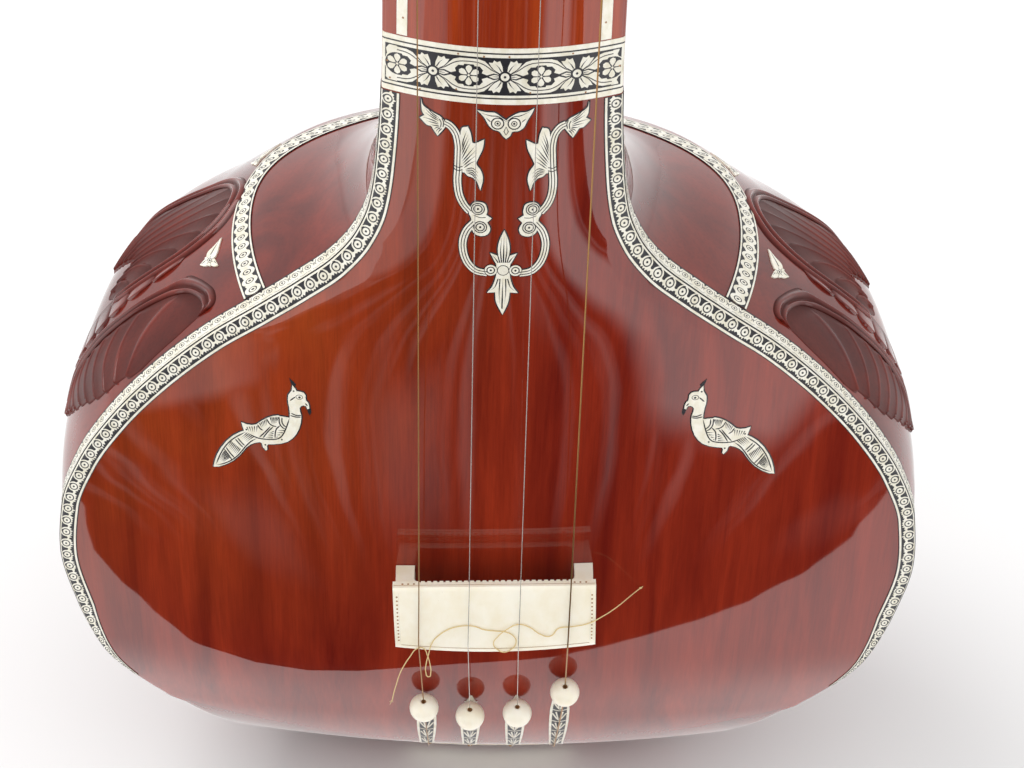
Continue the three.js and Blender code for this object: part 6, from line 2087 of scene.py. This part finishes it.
# Carved leaves, traced as shares of half a turn and of the joint height: the two rims that frame a leaf,
# and the four edges of its fan of feathers, which run from "start" to "end" between "near" and "far"
LEAVES = {
    "front": {
        "rim": [(0.019, 0.676), (0.022, 0.689), (0.036, 0.693), (0.05, 0.69), (0.062, 0.685), (0.07, 0.679),
                (0.071, 0.666), (0.072, 0.647), (0.073, 0.628), (0.077, 0.598), (0.083, 0.559), (0.09, 0.52),
                (0.088, 0.49), (0.082, 0.474)],
        "start": [(0.018, 0.672), (0.022, 0.679), (0.034, 0.681), (0.044, 0.678), (0.052, 0.672),
                  (0.057, 0.662), (0.06, 0.65), (0.063, 0.632), (0.067, 0.605), (0.072, 0.575),
                  (0.077, 0.54), (0.08, 0.505), (0.078, 0.48)],
        "near": [(0.018, 0.672), (0.014, 0.655), (0.0115, 0.635), (0.0095, 0.613)],
        "far": [(0.078, 0.48), (0.077, 0.474)],
        "end": [(0.0095, 0.613), (0.011, 0.606), (0.016, 0.595), (0.018, 0.58), (0.021, 0.567),
                (0.027, 0.553), (0.036, 0.538), (0.045, 0.519), (0.058, 0.498), (0.077, 0.474)],
        "feathers": 11, "bend": (0.009, -0.012), "lead": 0.66, "bowl": 0.12,
    },
    "rear": {
        "rim": [(0.096, 0.6), (0.09, 0.63), (0.092, 0.662), (0.099, 0.69), (0.114, 0.712), (0.136, 0.725),
                (0.152, 0.73), (0.17, 0.73), (0.192, 0.721), (0.208, 0.7), (0.215, 0.67), (0.212, 0.635),
                (0.204, 0.6), (0.192, 0.575)],
        "start": [(0.104, 0.605), (0.101, 0.632), (0.104, 0.658), (0.112, 0.682), (0.125, 0.7),
                  (0.14, 0.711), (0.153, 0.715), (0.168, 0.715), (0.183, 0.708), (0.195, 0.692),
                  (0.201, 0.668), (0.199, 0.638), (0.193, 0.606), (0.184, 0.58)],
        "near": [(0.104, 0.605), (0.108, 0.6)],
        "far": [(0.184, 0.58), (0.18, 0.575)],
        "end": [(0.108, 0.6), (0.113, 0.605), (0.118, 0.615), (0.124, 0.628), (0.13, 0.634), (0.138, 0.625),
                (0.148, 0.607), (0.16, 0.59), (0.18, 0.575)],
        "feathers": 13, "bend": (0.012, 0.014), "lead": 1.0, "bowl": 0.6,
    },
    "back": {
        "rim": [(0.35, 0.575), (0.352, 0.62), (0.368, 0.68), (0.4, 0.722), (0.45, 0.742), (0.5, 0.748),
                (0.55, 0.742), (0.6, 0.722), (0.632, 0.68), (0.648, 0.62), (0.65, 0.575)],
        "start": [(0.37, 0.58), (0.375, 0.622), (0.39, 0.67), (0.418, 0.706), (0.458, 0.722), (0.5, 0.727),
                  (0.542, 0.722), (0.582, 0.706), (0.61, 0.67), (0.625, 0.622), (0.63, 0.58)],
        "near": [(0.37, 0.58), (0.38, 0.57)],
        "far": [(0.63, 0.58), (0.62, 0.57)],
        "end": [(0.38, 0.57), (0.43, 0.556), (0.47, 0.55), (0.5, 0.548), (0.53, 0.55), (0.57, 0.556),
                (0.62, 0.57)],
        "feathers": 17, "bend": (0.0, 0.0), "lead": 1.0, "bowl": 0.3,
    },
}
# The scales that hang in a row from the lower rim of a rear leaf, and their lower edges
SCALE_ROOTS = [(0.102, 0.684), (0.1, 0.655), (0.101, 0.625), (0.104, 0.595), (0.11, 0.565), (0.118, 0.535),
               (0.126, 0.508)]
SCALE_EDGES = [(0.09, 0.672), (0.084, 0.645), (0.083, 0.615), (0.085, 0.585), (0.09, 0.555), (0.098, 0.525),
               (0.108, 0.498)]


def bump_at(value, centre, spread):
    return np.exp(-(((value - centre) / spread) ** 2))


def along_curve(points, share):
    """Places at given shares of the length of a smooth line through points."""
    dense = smooth_line(points, 0.0015)
    place = np.linspace(0, 1, len(dense))
    return np.stack([np.interp(share, place, dense[:, k]) for k in range(2)], -1)


def rim_grid(leaf, depth):
    """The two raised rims of a leaf, with their relief and a tone of painted shade and highlight, light on
    the ridges and dark between them.
    """
    t, r = np.linspace(0, 1, 260)[:, None], np.linspace(0, 1, 26)[None, :]
    outer, inner = along_curve(leaf["rim"], t[:, 0]), along_curve(leaf["start"], t[:, 0])
    spots = mix(outer[:, None], inner[:, None], r[..., None])
    fade = np.clip(np.minimum(t, 1 - t) / 0.03, 0, 1)
    ridges = bump_at(r, 0.3, 0.17) + 0.85 * bump_at(r, 0.8, 0.15)
    relief = depth * (0.62 * ridges * fade + 0.06) - 0.3 * (1 - np.clip(r / 0.08, 0, 1))
    return spots, relief, np.clip(1.15 * ridges - 0.05, 0, 1) * fade + 1 - fade


def fan_grid(leaf, depth):
    """The feathers between the four edges of a leaf, hollow, each with a quill where it laps the next; their
    tone paints shade where the relief is low and a highlight line on each quill.
    """
    count = leaf["feathers"]
    p, q = np.linspace(0, 1, count * 16 + 1)[:, None], np.linspace(0, 1, 70)[None, :]
    start, end = along_curve(leaf["start"], p[:, 0] ** leaf["lead"]), along_curve(leaf["end"], p[:, 0])
    near, far = along_curve(leaf["near"], q[0]), along_curve(leaf["far"], q[0])
    p2, q2 = p[..., None], q[..., None]
    corners = mix(mix(start[0], start[-1], p2), mix(end[0], end[-1], p2), q2)
    spots = mix(near[None], far[None], p2) + mix(start[:, None], end[:, None], q2) - corners
    spots = spots + np.array(leaf["bend"]) * 4 * q2 * (1 - q2) * np.sin(math.pi * p2) ** 0.6
    phase = np.mod(p * count, 1.0) + 0 * q
    spots[..., 1] -= 0.006 * np.sin(math.pi * phase) * q**6
    lap = np.clip((1 - phase) / 0.1, 0, 1)
    quill = bump_at(phase, 0.88, 0.05)
    hollow = mix(0.06, 0.5, phase**2.2) * lap + 0.26 * quill
    grow = np.clip(q / leaf["bowl"], 0, 1) ** 1.5 * np.clip((1 - q) / 0.015, 0, 1)
    grow = grow * np.clip(np.minimum(p, 1 - p) / 0.01, 0, 1)
    relief = depth * (hollow * grow * mix(0.7, 1.0, q) + 0.06) - 0.35 * (q > 0.995)
    return spots, relief, np.clip(0.3 * (1 - phase) + 1.5 * hollow * grow, 0, 1)


def scale_grid(depth):
    """A row of round scales, each rising to its lower edge and lapping the next; their tone paints each dome
    lighter towards its edge and shade at its root.
    """
    count = 7
    p, q = np.linspace(0, 1, count * 22 + 1)[:, None], np.linspace(0, 1, 40)[None, :]
    roots, edges = along_curve(SCALE_ROOTS, p[:, 0]), along_curve(SCALE_EDGES, p[:, 0])
    phase = np.mod(p * count, 1.0) + 0 * q
    reach = q * (0.8 + 0.28 * np.sqrt(np.maximum(0, 1 - (2 * phase - 1) ** 2)))
    spots = mix(roots[:, None], edges[:, None], reach[..., None])
    dome = np.sqrt(np.maximum(0, 1 - (2 * phase - 1) ** 2))
    relief = depth * (0.1 + 0.5 * q * dome) * np.clip((1 - q) / 0.05, 0, 1) - 0.35 * (q > 0.99)
    return spots, relief, np.clip(0.35 + 0.9 * dome * q, 0, 1)


class TANPURA_OT_leaves(bpy.types.Operator):
    """Carves the five leaves of feathers into the shoulders of the gourd"""

    bl_idname = "tanpura.leaves"
    bl_label = "Carved leaves"

    def execute(self, context):
        depth = context.scene.tanpura_sizes.carving_depth / MM
        pieces = [(kind, *side) for kind in ("front", "rear") for side in SIDES] + [("back", "", 1)]
        for kind, name, side in pieces:
            shape, painted_tones = Shape(), []
            parts = [rim_grid(LEAVES[kind], depth), fan_grid(LEAVES[kind], depth)]
            if kind == "rear":
                parts.append(scale_grid(depth))
            for spots, relief, tone in parts:
                share = spots[..., 0]
                turn = math.pi * (share if side > 0 else 1 - share)
                height = spots[..., 1] * JOINT
                shape.sheet(on_back(turn, height, relief), 0, False, on_back(turn, height, relief + 1))
                painted_tones.append(np.broadcast_to(tone, relief.shape).ravel())
            node = f"carved_leaf_{kind}" + (f"_{name}" if name else "")
            piece = make(f"carving_{kind}_{name or 'middle'}", shape, "carved", slot="carved_wood",
                         stands_for=node, sharp=180, weld=False)
            # The painted shade and highlight go onto the piece as its carving attribute
            tone = piece.data.attributes.new("carving", "FLOAT", "POINT")
            tone.data.foreach_set("value", np.concatenate(painted_tones).astype(np.float32))
        return {"FINISHED"}


class TANPURA_PT_panel(bpy.types.Panel):
    """Lists the pieces, sizes, colours and studio of the tanpura"""

    bl_idname = "TANPURA_PT_panel"
    bl_label = "Tanpura"
    bl_space_type = "VIEW_3D"
    bl_region_type = "UI"
    bl_category = "Tanpura"

    def draw(self, context):
        layout = self.layout
        for group in ("tanpura_sizes", "tanpura_colours", "tanpura_studio"):
            settings = getattr(context.scene, group)
            box = layout.box()
            for name in settings.__annotations__:
                box.prop(settings, name)
        for operator in OPERATORS:
            layout.operator(operator.bl_idname)


GROUPS = (
    ("tanpura_colours", TanpuraColours),
    ("tanpura_sizes", TanpuraSizes),
    ("tanpura_studio", TanpuraStudio),
)
OPERATORS = (
    TANPURA_OT_finishes, TANPURA_OT_stage, TANPURA_OT_thread, TANPURA_OT_body, TANPURA_OT_neck,
    TANPURA_OT_bridge, TANPURA_OT_strings, TANPURA_OT_beads, TANPURA_OT_pegs, TANPURA_OT_rim_bands,
    TANPURA_OT_joint_band, TANPURA_OT_figures, TANPURA_OT_guards, TANPURA_OT_shoulder_band,
    TANPURA_OT_leaves,
)


def register():
    for name, group in GROUPS:
        bpy.utils.register_class(group)
        setattr(bpy.types.Scene, name, PointerProperty(type=group))
    for operator in OPERATORS:
        bpy.utils.register_class(operator)
    bpy.utils.register_class(TANPURA_PT_panel)


def unregister():
    bpy.utils.unregister_class(TANPURA_PT_panel)
    for operator in reversed(OPERATORS):
        bpy.utils.unregister_class(operator)
    for name, group in reversed(GROUPS):
        delattr(bpy.types.Scene, name)
        bpy.utils.unregister_class(group)


def main():
    register()
    for operator in OPERATORS:
        area, name = operator.bl_idname.split(".")
        getattr(getattr(bpy.ops, area), name)()
    context = bpy.context
    context.scene.view_settings.view_transform = "Standard"
    context.view_layer.update()


if __name__ == "__main__":
    main()
